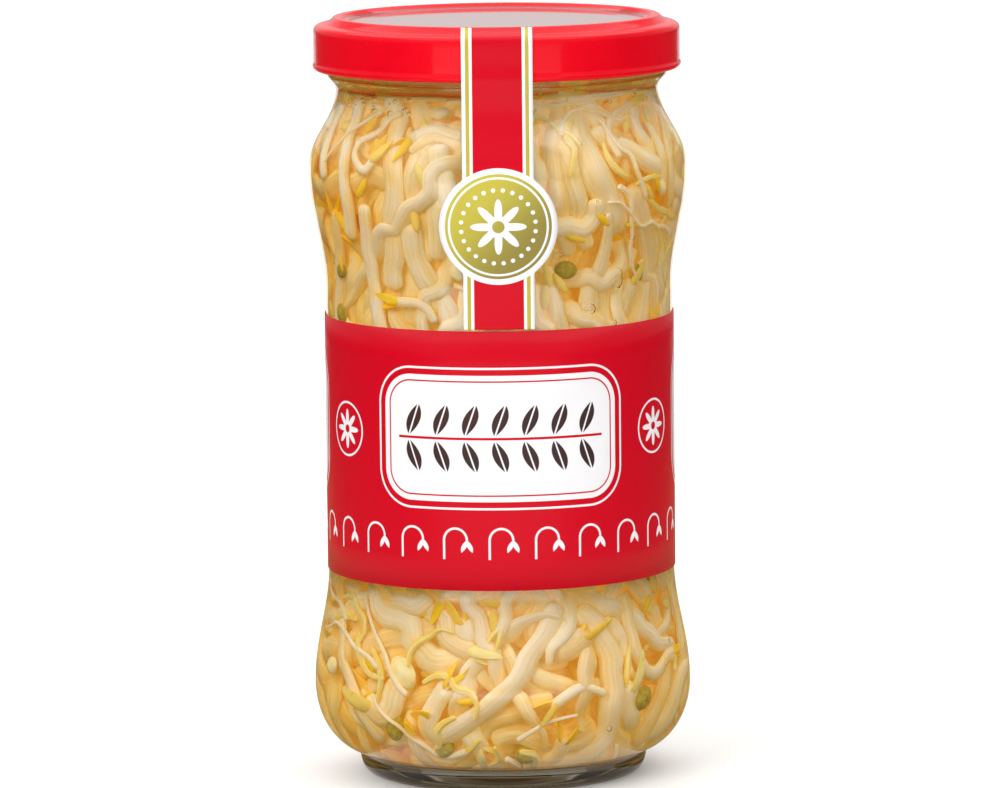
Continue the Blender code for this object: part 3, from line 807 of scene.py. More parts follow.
def turned_point(turn, z, depth):
    """A point this far behind the glass. turn is in radians from the front."""
    reach = float(cavity_radius(z, depth))
    return Vector((reach * math.sin(turn), -reach * math.cos(turn), z))


class Crowding:
    """How full each patch of the layer behind the glass is, so that strands go where there is room."""

    TURNS, LEVELS = 60, 36

    def __init__(self, low, high):
        self.low, self.high = low, high
        self.counts = np.zeros((self.TURNS, self.LEVELS))

    def patches(self, points):
        """The column and row of the patch that each point lies in."""
        turns = np.arctan2([p.x for p in points], [-p.y for p in points]) / (2 * math.pi) % 1.0
        levels = (np.array([p.z for p in points]) - self.low) / (self.high - self.low)
        columns = np.minimum((turns * self.TURNS).astype(int), self.TURNS - 1)
        rows = np.clip((levels * self.LEVELS).astype(int), 0, self.LEVELS - 1)
        return columns, rows

    def fullness(self, points):
        """How full the patches along a route are, on average."""
        return float(self.counts[self.patches(points)].mean())

    def fill(self, points, radius):
        """Adds a strand to the patches along its route."""
        np.add.at(self.counts, self.patches(points), radius / 0.0018)


def wandering_route(draw, turn, z, depth, low, high):
    """A strand's route along the glass: upright above the label's middle, loose below it."""
    share = (z - low) / (high - low)
    looseness = 1 - smooth_share(share, 0.2, 0.55)
    heading = draw.gauss(math.pi / 2, 0.30 + 1.2 * looseness)
    bend = draw.gauss(0.0, 10.0 + 26.0 * looseness)
    hook = draw.choice((-190.0, 190.0)) if draw.random() < 0.35 else 0.0
    step = 0.003
    points = []
    for j in range(int(draw.uniform(0.028, 0.056) / step)):
        points.append(turned_point(turn, z, depth + draw.uniform(-0.0003, 0.0003)))
        reach = max(0.012, math.hypot(points[-1].x, points[-1].y))
        turn += step * math.cos(heading) / reach
        z -= step * math.sin(heading)
        if not low < z < high:
            heading = -heading
            z = min(high, max(low, z))
        heading += step * (bend + (hook if j < 4 else 0.0))
    return points, hook != 0.0


def seeded_strands(strands, draw):
    """Strands all round the jar, in layers behind the glass, each put where there is most room."""
    low, high = FLOOR_Z + 0.003, BRINE_HIGH.z + 0.0006
    for depth, count in LAYERS:
        crowding = Crowding(low, high)
        for chain in strands.chains:
            placed = [Vector(p) for p in chain["points"]]
            first = placed[0]
            behind = float(cavity_radius(first.z, 0.0)) - math.hypot(first.x, first.y)
            if abs(behind - depth) < 0.0022:
                crowding.fill(placed, float(chain["radii"].mean()))
        for _ in range(count):
            tries = []
            for _ in range(TRIES):
                start = (draw.uniform(0, 2 * math.pi), draw.uniform(low, high))
                at_left = depth == LAYERS[0][0] and -math.sin(start[0]) > LEFT_SHARE
                behind = depth + (LEFT_SETBACK if at_left else 0.0)
                route, hooked = wandering_route(draw, *start, behind, low, high)
                tries.append((crowding.fullness(route), len(tries), route, hooked, behind))
            _, _, route, hooked, behind = min(tries)
            middle = sum(p.z for p in route) / len(route)
            radius = draw.uniform(0.0013, 0.0022) * (1.1 if middle < 0.045 else 1.0)
            crowding.fill(route, radius)
            tail = 0.75 if draw.random() < 0.4 else 0.3
            widths = [radius * 0.9, radius, radius, radius * 0.92, radius * tail]
            strands.add(route, widths, "stem", hooked or draw.random() < 0.2, 1.0, behind)


def spiral_place(i, offset, share, low, high):
    """A turn and a height, so that many of them lie evenly all round the jar."""
    return GOLDEN_TURN * i + offset, low + (high - low) * ((i * GOLDEN_SHARE + share) % 1.0)


def loose_bits(strands, draw):
    """Roots, curls, seed leaves, half beans and hulls that lie between the strands."""
    low, high = FLOOR_Z + 0.003, BRINE_HIGH.z - 0.0018
    for i in range(ROOTS):
        turn, z = spiral_place(i, 0.0, 0.0, low, high)
        heading = draw.uniform(0, 2 * math.pi)
        points = []
        for _ in range(9):
            points.append(turned_point(turn, min(high, max(low, z)), 0.0010))
            turn += 0.0026 * math.cos(heading) / 0.030
            z += 0.0026 * math.sin(heading)
            heading += draw.gauss(0.0, 0.25)
        strands.add(points, [0.0006, 0.00045, 0.00028], "root", False, 2.0, 0.0)
    for i in range(CURLS):
        turn, z = spiral_place(i, 2.0, 0.7, low, high)
        heading = draw.uniform(0, 2 * math.pi)
        bend = draw.choice((-1, 1)) * draw.uniform(40.0, 200.0)
        points = []
        for _ in range(draw.randint(4, 7)):
            points.append(turned_point(turn, min(high, max(low, z)), 0.0016))
            turn += 0.0024 * math.cos(heading) / 0.030
            z += 0.0024 * math.sin(heading)
            heading += 0.0024 * bend
        size = draw.uniform(0.0005, 0.0009)
        strands.add(points, [size * 0.6, size, size * 0.9, size * 0.4], "curl", False, 1.5, 0.0004)
    for i in range(BITS):
        turn, z = spiral_place(i, 1.0, 0.3, low, high)
        kind = "hull" if i % 10 == 0 else "half" if i % 10 == 5 else "leaf"
        size = draw.uniform(0.0010, 0.0015) if kind == "leaf" else draw.uniform(0.0013, 0.0018)
        strands.add([turned_point(turn, z, size + draw.uniform(0.0, 0.003))], [size], kind, False, 1.0)


def crossing_strands(strands, draw):
    """Strands across the top and the floor of the tangle, which close it above and below."""
    for i in range(CROSSING):
        at_top = i < CROSSING_AT_TOP
        z = BRINE_HIGH.z - 0.003 - 0.0024 * (i % 4) if at_top else FLOOR_Z + 0.003 + 0.003 * (i % 2)
        reach = float(cavity_radius(z, 0.003))
        turn, spread_turn = draw.uniform(0, 2 * math.pi), draw.uniform(1.3, 3.0)
        start = Vector((reach * math.cos(turn), reach * math.sin(turn), z))
        end = Vector((reach * math.cos(turn + spread_turn), reach * math.sin(turn + spread_turn), z))
        middle = start.lerp(end, 0.5) * draw.uniform(0.6, 1.25)
        middle.z = z + draw.uniform(-0.002, 0.001)
        radius = draw.uniform(0.0014, 0.0021)
        strands.add([start, middle, end], [radius, radius * 1.05, radius * 0.7], "stem", i % 3 == 0, 1.0)


def photo_strands(strands):
    """The strands and bits that the photograph shows at the glass."""
    for (wide_start, wide_end), depth, head, route in PHOTO_STRANDS:
        start, end = (w / 2 / PIXELS_PER_METRE for w in (wide_start, wide_end))
        behind = max(start, end) + depth * 0.001
        points = [behind_glass(pixel, behind) for pixel in route]
        kind = "root" if max(wide_start, wide_end) < 7 else "stem"
        strands.add(points, [start, end], kind, bool(head), STRAND_WEIGHT, depth * 0.001)
    for pixel, width, kind in PHOTO_BITS:
        radius = width / 2 / PIXELS_PER_METRE
        weight = LEAF_WEIGHT if kind == "leaf" else BIT_WEIGHT
        spot = behind_glass(pixel, radius * 0.6)
        strands.add([spot], [radius * PACKED_SHARE], kind, False, weight, 0.0)


def ring_frames(line):
    """A tangent and two sideways directions at each point, with no sudden twist.

    The first sideways direction lies along the glass.
    """
    last = len(line) - 1
    tangents = [(line[min(i + 1, last)] - line[max(i - 1, 0)]).normalized() for i in range(last + 1)]
    out = Vector((line[0].x, line[0].y, 0.0)).normalized()
    side = tangents[0].cross(out)
    side = side.normalized() if side.length > 0.3 else tangents[0].orthogonal().normalized()
    frames = []
    for tangent in tangents:
        side = (side - tangent * side.dot(tangent)).normalized()
        frames.append((tangent, side, tangent.cross(side)))
    return frames


class Shape:
    """Points and faces gathered for one mesh, with a tone and the places round and along each form."""

    def __init__(self):
        self.points, self.faces = [], []
        self.marks = {"tone": [], "around": [], "along": []}

    def mark(self, tone, rows, sides):
        """Marks for a grid of rows. around runs out and back, so that it has no seam."""
        for i in range(rows):
            for k in range(sides):
                self.marks["tone"].append(tone)
                self.marks["around"].append(abs(2 * k / sides - 1))
                self.marks["along"].append(i / rows)

    def tube(self, line, radii, sides, tone, flatness=1.0):
        """A closed tube with rounded ends."""
        frames = ring_frames(line)
        first_cap = frames[0][0] * radii[0] * 0.8
        last_cap = frames[-1][0] * radii[-1] * 0.8
        rings = []
        for share in (0.35, 0.75):
            middle = line[0] - first_cap * (1 - share) ** 0.5
            rings.append((middle, radii[0] * share ** 0.6, frames[0]))
        rings += list(zip(line, radii, frames))
        for share in (0.75, 0.35):
            middle = line[-1] + last_cap * (1 - share) ** 0.5
            rings.append((middle, radii[-1] * share ** 0.6, frames[-1]))
        start = len(self.points)
        for middle, radius, (_, side, other) in rings:
            for k in range(sides):
                t = 2 * math.pi * k / sides
                wide, deep = radius * (1.6 - 0.6 * flatness) * math.cos(t), radius * flatness * math.sin(t)
                self.points.append(middle + side * wide + other * deep)
        for i in range(len(rings) - 1):
            for k in range(sides):
                a, b = start + i * sides + k, start + i * sides + (k + 1) % sides
                self.faces.append((a, b, b + sides, a + sides))
        self.points += [line[0] - first_cap, line[-1] + last_cap]
        tip, foot = len(self.points) - 2, len(self.points) - 1
        final = start + (len(rings) - 1) * sides
        for k in range(sides):
            self.faces.append((tip, start + (k + 1) % sides, start + k))
            self.faces.append((foot, final + k, final + (k + 1) % sides))
        self.mark(tone, len(rings), sides)
        self.mark(tone, 2, 1)

    def seed_half(self, middle, axes, sizes, tone, hollow=0.35, point=0.0):
        """Half a bean: an ellipsoid with one side pressed nearly flat, and its first end drawn to a point.

        axes are along, across and out.
        """
        along, across, out = axes
        rows, sides = 9, 14
        start = len(self.points)
        for i in range(rows + 1):
            t = math.pi * i / rows
            for k in range(sides):
                s = 2 * math.pi * k / sides
                girth = math.sin(t) * (1 - point * (0.5 + 0.5 * math.cos(t)))
                high = girth * math.sin(s)
                high = high if high > 0 else high * hollow
                self.points.append(
                    middle + along * sizes[0] * math.cos(t) + across * sizes[1] * girth * math.cos(s)
                    + out * sizes[2] * high)
        for i in range(rows):
            for k in range(sides):
                a, b = start + i * sides + k, start + i * sides + (k + 1) % sides
                self.faces.append((a, a + sides, b + sides, b))
        self.mark(tone, rows + 1, sides)

    def pressed(self):
        """The points, with any that would reach into the glass pressed back from it."""
        points = np.array([tuple(p) for p in self.points])
        points[:, 2] = np.clip(points[:, 2], FLOOR_Z + 0.0002, BRINE_TOP_Z - 0.0009)
        most = cavity_radius(points[:, 2], 0.00012)
        reach = np.hypot(points[:, 0], points[:, 1]) + 1e-9
        points[:, :2] *= np.minimum(1.0, most / reach)[:, None]
        return points

    def piece(self, name, finish, slot, replaces=()):
        """The mesh object, with its faces turned outwards and its marks stored at the points."""
        made = new_piece(name, self.pressed(), self.faces, finish, replaces)
        work = bmesh.new()
        work.from_mesh(made.data)
        bmesh.ops.recalc_face_normals(work, faces=work.faces)
        work.to_mesh(made.data)
        work.free()
        for mark, values in self.marks.items():
            made.data.attributes.new(mark, "FLOAT", "POINT").data.foreach_set("value", values)
        return made


def stem_finish(look):
    """Pale, faintly golden flesh with fibres along each strand, and a faint painted golden glow from
    within.
    """
    finish = Finish(
        "sprout_flesh", Roughness=0.45, IOR=1.12, Subsurface_Weight=0.65, Emission_Strength=0.14,
        Subsurface_Radius=(1.0, 0.95, 0.9), Subsurface_Scale=0.0016)
    place = finish.place()
    tone = finish.attribute("tone")
    base = finish.mix(tone.step(-0.2, 0.9), look.flesh, look.pale)
    cloud = finish.noise(place, 190.0, 3.0)
    base = finish.mix(0.55 * cloud.step(0.45, 0.75), base, (0.95, 0.62, 0.12))
    around, along = finish.attribute("around"), finish.attribute("along")
    strand = {"X": around * 13.0, "Y": along * 2.0, "Z": tone * 40.0}
    fibre = finish.noise(finish.node("ShaderNodeCombineXYZ", {}, strand)[0], 1.0, 3.0)
    base = finish.mix(0.70 * fibre.step(0.50, 0.66), base, (0.93, 0.86, 0.85))
    base = finish.mix(0.50 * (1 - fibre.step(0.32, 0.46)), base, (0.88, 0.60, 0.22))
    # Emission here is painted light: a golden glow that stands in for light scattered through the tangle.
    painted_glow = finish.mix(0.75, base, (1.0, 0.66, 0.03))
    finish.feed(finish.shader, {"Base Color": base, "Emission Color": painted_glow})
    finish.bump(fibre + 0.6 * cloud, 0.35, 0.0003)
    return finish


def leaf_finish(look):
    """Yellow seed leaves, cloudy and a little deeper in places, with a faint painted glow."""
    finish = Finish("seed_leaf", Roughness=0.45, IOR=1.12, Emission_Strength=0.12)
    place = finish.place()
    tone = finish.attribute("tone")
    base = finish.mix(tone.step(0.2, 1.0), look.leaf, (0.95, 0.78, 0.34))
    cloud = finish.noise(place, 420.0, 3.0)
    base = finish.mix(0.6 * cloud.step(0.4, 0.7), base, (0.98, 0.70, 0.08))
    # Emission in the leaves' own colour is painted light, a faint glow.
    finish.feed(finish.shader, {"Base Color": base, "Emission Color": base})
    finish.bump(cloud, 0.3, 0.0002)
    return finish


def bean_finish():
    """Cream half beans, with a faint painted glow."""
    finish = Finish("half_bean", Roughness=0.5, IOR=1.12, Emission_Strength=0.16)
    cloud = finish.noise(finish.place(), 500.0, 3.0)
    base = finish.mix(cloud.step(0.35, 0.65), (0.97, 0.87, 0.60), (0.95, 0.76, 0.40))
    # Emission in the beans' own colour is painted light, a faint glow.
    finish.feed(finish.shader, {"Base Color": base, "Emission Color": base})
    finish.bump(cloud, 0.3, 0.0002)
    return finish


def hull_finish(look):
    """Speckled green-brown hulls."""
    finish = Finish("seed_hull", Roughness=0.4, IOR=1.15)
    speckle = finish.noise(finish.place(), 1400.0, 3.0)
    base = finish.mix(speckle.step(0.4, 0.65), look.hull, (0.62, 0.50, 0.08))
    finish.feed(finish.shader, {"Base Color": base})
    finish.bump(speckle, 0.3, 0.0001)
    return finish


def core_shade_finish():
    """Painted shade: the deep gold that the shaded tangle shows in the gaps."""
    finish = Finish("tangle_core_shade", Roughness=0.6)
    cloud = finish.noise(finish.stretched(finish.place(), (1.0, 1.0, 0.35)), 260.0, 3.0)
    base = finish.mix(cloud.step(0.35, 0.65), (0.92, 0.55, 0.07), (0.97, 0.68, 0.22))
    finish.feed(finish.shader, {"Base Color": base})
    finish.bump(cloud, 0.8, 0.001)
    return finish


def add_head(leaves, line, radius, draw):
    """Two seed leaves that sit side by side at a strand's first point."""
    tip = line[0]
    along = (line[0] - line[1]).normalized()
    out = Vector((tip.x, tip.y, 0.0)).normalized()
    across = along.cross(out)
    if across.length < 0.2:
        across = along.orthogonal()
    across.normalize()
    out = across.cross(along).normalized()
    roll = draw.uniform(-1.3, 1.3)
    across = across * math.cos(roll) + out * math.sin(roll)
    wide = max(0.0014, radius * draw.uniform(1.0, 1.2))
    open_by = draw.uniform(0.05, 0.42)
    tone = draw.random()
    for side in (-1, 1):
        lean = (along + across * side * open_by).normalized()
        flat_out = (across * side - lean * lean.dot(across * side)).normalized()
        middle = tip + lean * wide * 1.55 + flat_out * wide * 0.12
        axes = (lean, lean.cross(flat_out), flat_out)
        leaves.seed_half(middle, axes, (wide * 2.1, wide * 1.05, wide * 0.8), tone, 0.15, 0.6)


def lay_bit(target, chain, draw):
    """A loose half bean, hull or seed leaf, laid flat to the glass and turned at random."""
    middle = Vector(chain["points"][0])
    out = Vector((middle.x, middle.y, 0.0)).normalized()
    turn = draw.uniform(0, math.pi)
    along = (UP.cross(out) * math.cos(turn) + UP * math.sin(turn)).normalized()
    size = chain["radii"][0] / PACKED_SHARE
    sizes = [size * share for share in BIT_SHARES[chain["kind"]]]
    target.seed_half(middle, (along, out.cross(along), out), sizes, draw.random())


def lay_strand(shapes, chain, draw):
    """A stem, a root or a curl along its packed beads, with its seed leaves."""
    line = [Vector(p) for p in chain["points"]]
    radii = list(chain["radii"])
    fine = spread(line, BEAD_SPACING / 2.2) if len(line) > 1 else line
    width = np.interp(np.linspace(0, 1, len(fine)), np.linspace(0, 1, len(radii)), radii)
    wave = draw.uniform(0, 6)
    width = [w * (1 + 0.05 * math.sin(wave + 0.9 * i)) for i, w in enumerate(width)]
    if chain["kind"] == "stem":
        shapes["stem"].tube(fine, width, 12, draw.random(), draw.uniform(0.6, 0.88))
    else:
        target, darkest = (shapes["root"], 0.4) if chain["kind"] == "root" else (shapes["leaf"], 0.75)
        target.tube(fine, width, 6, darkest + (1 - darkest) * draw.random())
    if chain["head"]:
        add_head(shapes["leaf"], fine, radii[0], draw)


class JAR_OT_sprouts(bpy.types.Operator):
    """Grow the sprouts and pack them into the jar"""

    bl_idname = "sprout_jar.sprouts"
    bl_label = "Sprouts"

    def execute(self, context):
        look = context.scene.sprout_jar.sprouts
        draw = random.Random(look.seed)
        strands = Strands()
        photo_strands(strands)
        seeded_strands(strands, draw)
        crossing_strands(strands, draw)
        loose_bits(strands, draw)
        rounds = look.rounds
        pack(strands.chains, rounds, FLOOR_Z, BRINE_HIGH.z + 0.0028)
        shapes = {kind: Shape() for kind in ("stem", "leaf", "root", "hull", "half")}
        for chain in strands.chains:
            if chain["kind"] in BIT_SHARES:
                lay_bit(shapes[chain["kind"]], chain, draw)
            else:
                lay_strand(shapes, chain, draw)
        flesh = stem_finish(look)
        leaf = leaf_finish(look)
        shapes["stem"].piece("sprout_stems", flesh, "sprout_flesh", ["sprouts"])
        shapes["root"].piece("sprout_roots", flesh, "sprout_flesh")
        shapes["leaf"].piece("seed_leaves", leaf, "sprout_flesh")
        shapes["half"].piece("half_beans", bean_finish(), "sprout_flesh")
        shapes["hull"].piece("seed_hulls", hull_finish(look), "sprout_flesh")
        # The hidden middle stands in for the sprouts deep inside, coloured in their painted shade.
        section = [(0.0, BRINE_HIGH.z - 0.010)] + cavity(CORE_DEPTH, BRINE_HIGH.z - 0.012)[::-1]
        points, faces = lathe(section, 96, core_relief)
        new_piece("tangle_middle", points, faces, core_shade_finish())
        return {"FINISHED"}


def core_relief(turn, radius, z):
    """The hidden middle has ridges like strands laid side by side."""
    return radius * (1 + 0.035 * math.sin(17 * turn + 160 * z) + 0.02 * math.sin(29 * turn - 240 * z + 1))


class JAR_OT_brine(bpy.types.Operator):
    """Pour the brine, with air bubbles at the glass"""

    bl_idname = "sprout_jar.brine"
    bl_label = "Brine"

    def execute(self, context):
        draw = random.Random(3)
        inset = -0.00004  # into the glass, so that no air shows between them
        level = BRINE_TOP_Z
        outer = cavity(inset, level)
        edge_r = outer[-1][0]
        shares = (0.25, 0.5, 0.75, 1.0)
        surface = [(edge_r - 0.0014 * s, level - 0.0007 * (1 - (1 - s) ** 2)) for s in shares]
        surface += [(edge_r * s, level - 0.0007) for s in (0.8, 0.5, 0.25, 0.0)]
        points, faces = lathe((outer + surface)[::-1], TURN_STEPS)
        bubbles = []
        for pixel, wide, tall in PHOTO_BUBBLES:
            size = wide / 2 / PIXELS_PER_METRE
            bubbles.append((behind_glass(pixel, size + 0.0002), size, tall / wide))
        for i in range(RANDOM_BUBBLES):
            turn = draw.uniform(0, 2 * math.pi)
            size = draw.uniform(0.00025, 0.0008)
            z = draw.gauss(0.1288, 0.0008) if i < BUBBLES_AT_SURFACE else draw.uniform(0.012, 0.125)
            bubbles.append((turned_point(turn, z, size + 0.0002), size, 1.0))
        for middle, size, stretch in bubbles:
            ball = bmesh.new()
            bmesh.ops.create_icosphere(ball, subdivisions=2, radius=size)
            ball.verts.ensure_lookup_table()
            start = len(points)
            points += [tuple(middle + Vector((v.co.x, v.co.y, v.co.z * stretch))) for v in ball.verts]
            faces += [[start + v.index for v in reversed(face.verts)] for face in ball.faces]
            ball.free()
        finish = Finish(
            "brine", Base_Color=(1.0, 0.985, 0.95), Roughness=0.0, IOR=BRINE_IOR, Transmission_Weight=1.0)
        absorb = {"Color": (0.986, 0.832, 0.0), "Density": 190.0}
        tint = finish.node("ShaderNodeVolumeAbsorption", {}, absorb)
        finish.feed(finish.tree.nodes["Material Output"], {"Volume": tint[0]})
        liquid = new_piece("brine_liquid", points, faces, finish, ["brine"])
        liquid.visible_shadow = False
        return {"FINISHED"}


def cell_offset(value, size):
    """Distance from the middle of the nearest cell of this size."""
    return ((value / size + 40.5).math("FRACT") - 0.5) * size


def drawn_sprouts(x, rise, cell, blur):
    """A row of line-drawn sprouts: a bow with two leaves at one end and a stalk at the other."""
    across = cell_offset(x, cell)
    bow_r, line = 0.0022, 0.00021
    away = distance(across, rise)
    bow = away.within(bow_r - line, bow_r + line, blur) * rise.step(-blur, blur)
    drop = (rise + 0.0011) / 0.0012
    lean = abs(across - bow_r) - 0.0005 + 0.00054 * drop
    head = (0.00050 * (1 - drop * drop) - abs(lean)).step(-blur, blur)
    stalk = (across + bow_r).within(-line, line, blur) * rise.within(-0.0036, blur, blur)
    return bow.math("MAXIMUM", head).math("MAXIMUM", stalk)


def rosette(x, z, petal, wave, eye, blur):
    """Eight petals round an open eye."""
    away = distance(x, z)
    reach = petal + wave * (8 * z.math("ARCTAN2", x)).math("COSINE")
    return (reach - away).step(-blur, blur) * away.step(eye, eye + 2 * blur)


def sprig_of_leaves(x, up, blur):
    """Leaves in pairs along a line, with the line itself as a second mask."""
    across = cell_offset(x, 0.0056)
    rise = (abs(up) - 0.0034) / 0.0030
    lean = across - 0.35 * (abs(up) - 0.0034)
    half_width = 0.0014 * (1 - rise * rise)
    ends = 1 - abs(x).step(0.0195, 0.0197)
    leaves = (half_width - abs(lean)).step(-blur, blur) * abs(lean).step(0.00012, 0.00020) * ends
    line = (1 - abs(up).step(0.00020, 0.00028)) * (1 - abs(x).step(0.0200, 0.0201))
    return leaves, line


def label_finish(look):
    """Red paper with three pale panels, a sprig in each, rosettes between and drawn sprouts below."""
    finish = Finish(
        "label_paper", Roughness=0.38, Specular_IOR_Level=0.12, Coat_Weight=0.08, Coat_Roughness=0.18)
    place = finish.place()
    split = finish.split(place)
    radius = LABEL_HIGH.x - SOLID_GAP
    round_x = split["X"].math("ARCTAN2", 0 - split["Y"]) * radius
    up = split["Z"] - (LABEL_LOW.z + LABEL_HIGH.z) / 2
    blur = 0.00006
    repeat = 2 * math.pi * radius / 3
    x = cell_offset(round_x, repeat)
    half_wide, half_tall, corner = 0.0232, 0.0118, 0.0058
    raised = up - 0.0042
    over_x = (abs(x) - (half_wide - corner)).math("MAXIMUM", 0.0)
    over_z = (abs(raised) - (half_tall - corner)).math("MAXIMUM", 0.0)
    edge = distance(over_x, over_z) - corner
    side_x = cell_offset(x + repeat / 2, repeat)
    side_away = distance(side_x, raised)
    leaves, line = sprig_of_leaves(x, raised, blur)
    colour = look.red
    white_masks = (
        edge.within(0.0011, 0.0015, blur),
        1 - edge.step(-blur, blur),
        rosette(side_x, raised, 0.0026, 0.0011, 0.0007, blur),
        side_away.within(0.0048, 0.0052, blur),
        drawn_sprouts(round_x, up + 0.0148, repeat / 8, blur),
    )
    for mask in white_masks:
        colour = finish.mix(mask, colour, look.white)
    colour = finish.mix(edge.within(-0.0013, -0.0010, blur), colour, look.red)
    colour = finish.mix(leaves, colour, INK_DARK)
    colour = finish.mix(line, colour, look.red)
    wear = finish.noise(place, 120.0, 4.0)
    colour = finish.mix(0.10 * wear, colour, (0.42, 0.0, 0.01))
    finish.feed(finish.shader, {"Base Color": colour, "Roughness": 0.34 + 0.10 * wear})
    finish.bump(finish.noise(place, 2600.0, 3.0), 0.12, 0.00006)
    return finish


def strip_finish(look):
    """Red band between pale and gold stripes, with a round gold seal."""
    finish = Finish(
        "strip_paper", Roughness=0.36, Specular_IOR_Level=0.12, Coat_Weight=0.08, Coat_Roughness=0.18)
    place = finish.place()
    split = finish.split(place)
    x, z = split["X"], split["Z"]
    rise = z - ROUNDEL_Z
    side = abs(x)
    blur = 0.00005
    colour = finish.mix(side.step(0.00460 - blur, 0.00460 + blur), look.red, look.white)
    gold = finish.mix(finish.noise(place, 90.0, 2.0), look.gold, (0.52, 0.44, 0.07))
    colour = finish.mix(side.within(0.00515, 0.00585, blur), colour, gold)
    away = distance(x, rise)
    seal = 1 - away.step(ROUNDEL_R - blur, ROUNDEL_R + blur)
    colour = finish.mix(seal, colour, look.white)
    shade = ((x - z + ROUNDEL_Z) / (2 * ROUNDEL_R) + 0.5).step(0.0, 1.0)
    seal_gold = finish.mix(shade, (0.52, 0.45, 0.06), (0.27, 0.22, 0.05))
    colour = finish.mix(away.within(0.00930, 0.00985, blur), colour, seal_gold)
    colour = finish.mix(1 - away.step(0.00890 - blur, 0.00890 + blur), colour, seal_gold)
    petals = rosette(x, rise, 0.0036, 0.0016, 0.0011, blur)
    colour = finish.mix(petals, colour, look.white)
    turns = rise.math("ARCTAN2", x) * (SEAL_DOTS / (2 * math.pi))
    round_off = ((turns + 30.0).math("FRACT") - 0.5) * (SEAL_DOTS_R * 2 * math.pi / SEAL_DOTS)
    dot = distance(round_off, away - SEAL_DOTS_R)
    colour = finish.mix(1 - dot.step(0.00036, 0.00044), colour, look.white)
    gloss = 0.32 + 0.10 * finish.noise(place, 120.0, 3.0)
    finish.feed(finish.shader, {"Base Color": colour, "Roughness": gloss})
    finish.bump(finish.noise(place, 2600.0, 3.0), 0.12, 0.00006)
    return finish


def paper(points, rows, columns, name, finish, node):
    """A sheet over a grid of points, given a thin paper's thickness."""
    faces = []
    for i in range(rows - 1):
        for j in range(columns - 1):
            a = i * columns + j
            faces.append((a, a + columns, a + columns + 1, a + 1))
    piece = new_piece(name, points, faces, finish, [node])
    solid = piece.modifiers.new("Paper", "SOLIDIFY")
    solid.thickness = PAPER_THICKNESS
    solid.offset = 1.0
    return piece


def strip_route():
    """Section of the strip's inner face: over the lid's ledge and skirt, down to the label."""
    rise = PAPER_GAP
    lid = [(RIM_R - 0.0002, LID_HIGH.z - 0.0001), (RIM_R + 0.0004, LID_HIGH.z - 0.0005)]
    lid += [(LEDGE_R + 0.0002, LEDGE_Z + 0.0004), (LEDGE_R + 0.0011, LEDGE_Z + 0.0001)]
    lid += arc(SKIRT_R - 0.0011, LEDGE_Z - 0.0013, 0.0012, 0.0014, -75, 0, 5)
    lid += [(SKIRT_R + rise, 0.1400), (SKIRT_R + rise, 0.1370), (CURL_R + rise, LID_LOW.z + 0.0010)]
    lid += [(CURL_R + rise, LID_LOW.z + 0.0004)]
    bridge = [(SKIRT_R + 0.0001, 0.1320), (SKIRT_R - 0.0001, 0.1285), (SKIRT_R + 0.0003, 0.1240)]
    glass = [(body_radius(z) + rise, z) for z in np.arange(0.1195, STRIP_LOW.z, -0.0010)]
    return lid + bridge + glass + [(WAIST_R + rise, STRIP_LOW.z)]


class JAR_OT_papers(bpy.types.Operator):
    """Wrap the label and paste the guarantee strip"""

    bl_idname = "sprout_jar.papers"
    bl_label = "Label and strip"

    def execute(self, context):
        look = context.scene.sprout_jar.papers
        columns, rows = 260, 9
        overlap = 0.16
        points = []
        for i in range(rows):
            z = LABEL_HIGH.z + (LABEL_LOW.z - LABEL_HIGH.z) * i / (rows - 1)
            for j in range(columns):
                turn = (2 * math.pi + overlap) * j / (columns - 1) + math.pi / 2
                reach = WAIST_R + PAPER_GAP + 0.00022 * smooth_share(j / (columns - 1), 0.96, 0.985)
                points.append((reach * math.cos(turn), reach * math.sin(turn), z))
        paper(points, rows, columns, "paper_label", label_finish(look), "label")
        route = [Vector((r, 0.0, z)) for r, z in strip_route()]
        line = spread(route, 0.0004)
        points = []
        columns = 25
        for spot in line:
            chord = ROUNDEL_R ** 2 - (spot.z - ROUNDEL_Z) ** 2
            half = max(STRIP_HALF, math.sqrt(chord) if chord > 0 else 0.0)
            for j in range(columns):
                x = half * (2 * j / (columns - 1) - 1)
                points.append((x, -math.sqrt(spot.x ** 2 - x * x), spot.z))
        finish = strip_finish(look)
        paper(points, len(line), columns, "guarantee_strip", finish, "seal_strip")
        return {"FINISHED"}


def soft_box(name, place, target, size, power, mirrored):
    """A lamp. Where mirrored is false, shiny surfaces don't show it."""
    light = bpy.data.lights.new(name, "AREA")
    light.shape = "RECTANGLE"
    light.size, light.size_y = size
    light.energy = power
    lamp = bpy.data.objects.new(name, light)
    bpy.context.scene.collection.objects.link(lamp)
    lamp.location = place
    lamp.visible_glossy = mirrored
    lamp.visible_transmission = mirrored
    lamp.rotation_euler = (Vector(target) - Vector(place)).to_track_quat("-Z", "Y").to_euler()


def dark_card(corners, material):
    """A dark card beside the jar, which the glass mirrors at its edges."""
    mesh = bpy.data.meshes.new("flag")
    mesh.from_pydata(corners, [], [(0, 1, 2, 3)])
    mesh.materials.append(material)
    card = bpy.data.objects.new("flag", mesh)
    bpy.context.scene.collection.objects.link(card)
    card.visible_camera = False
    card.visible_shadow = False
    return card


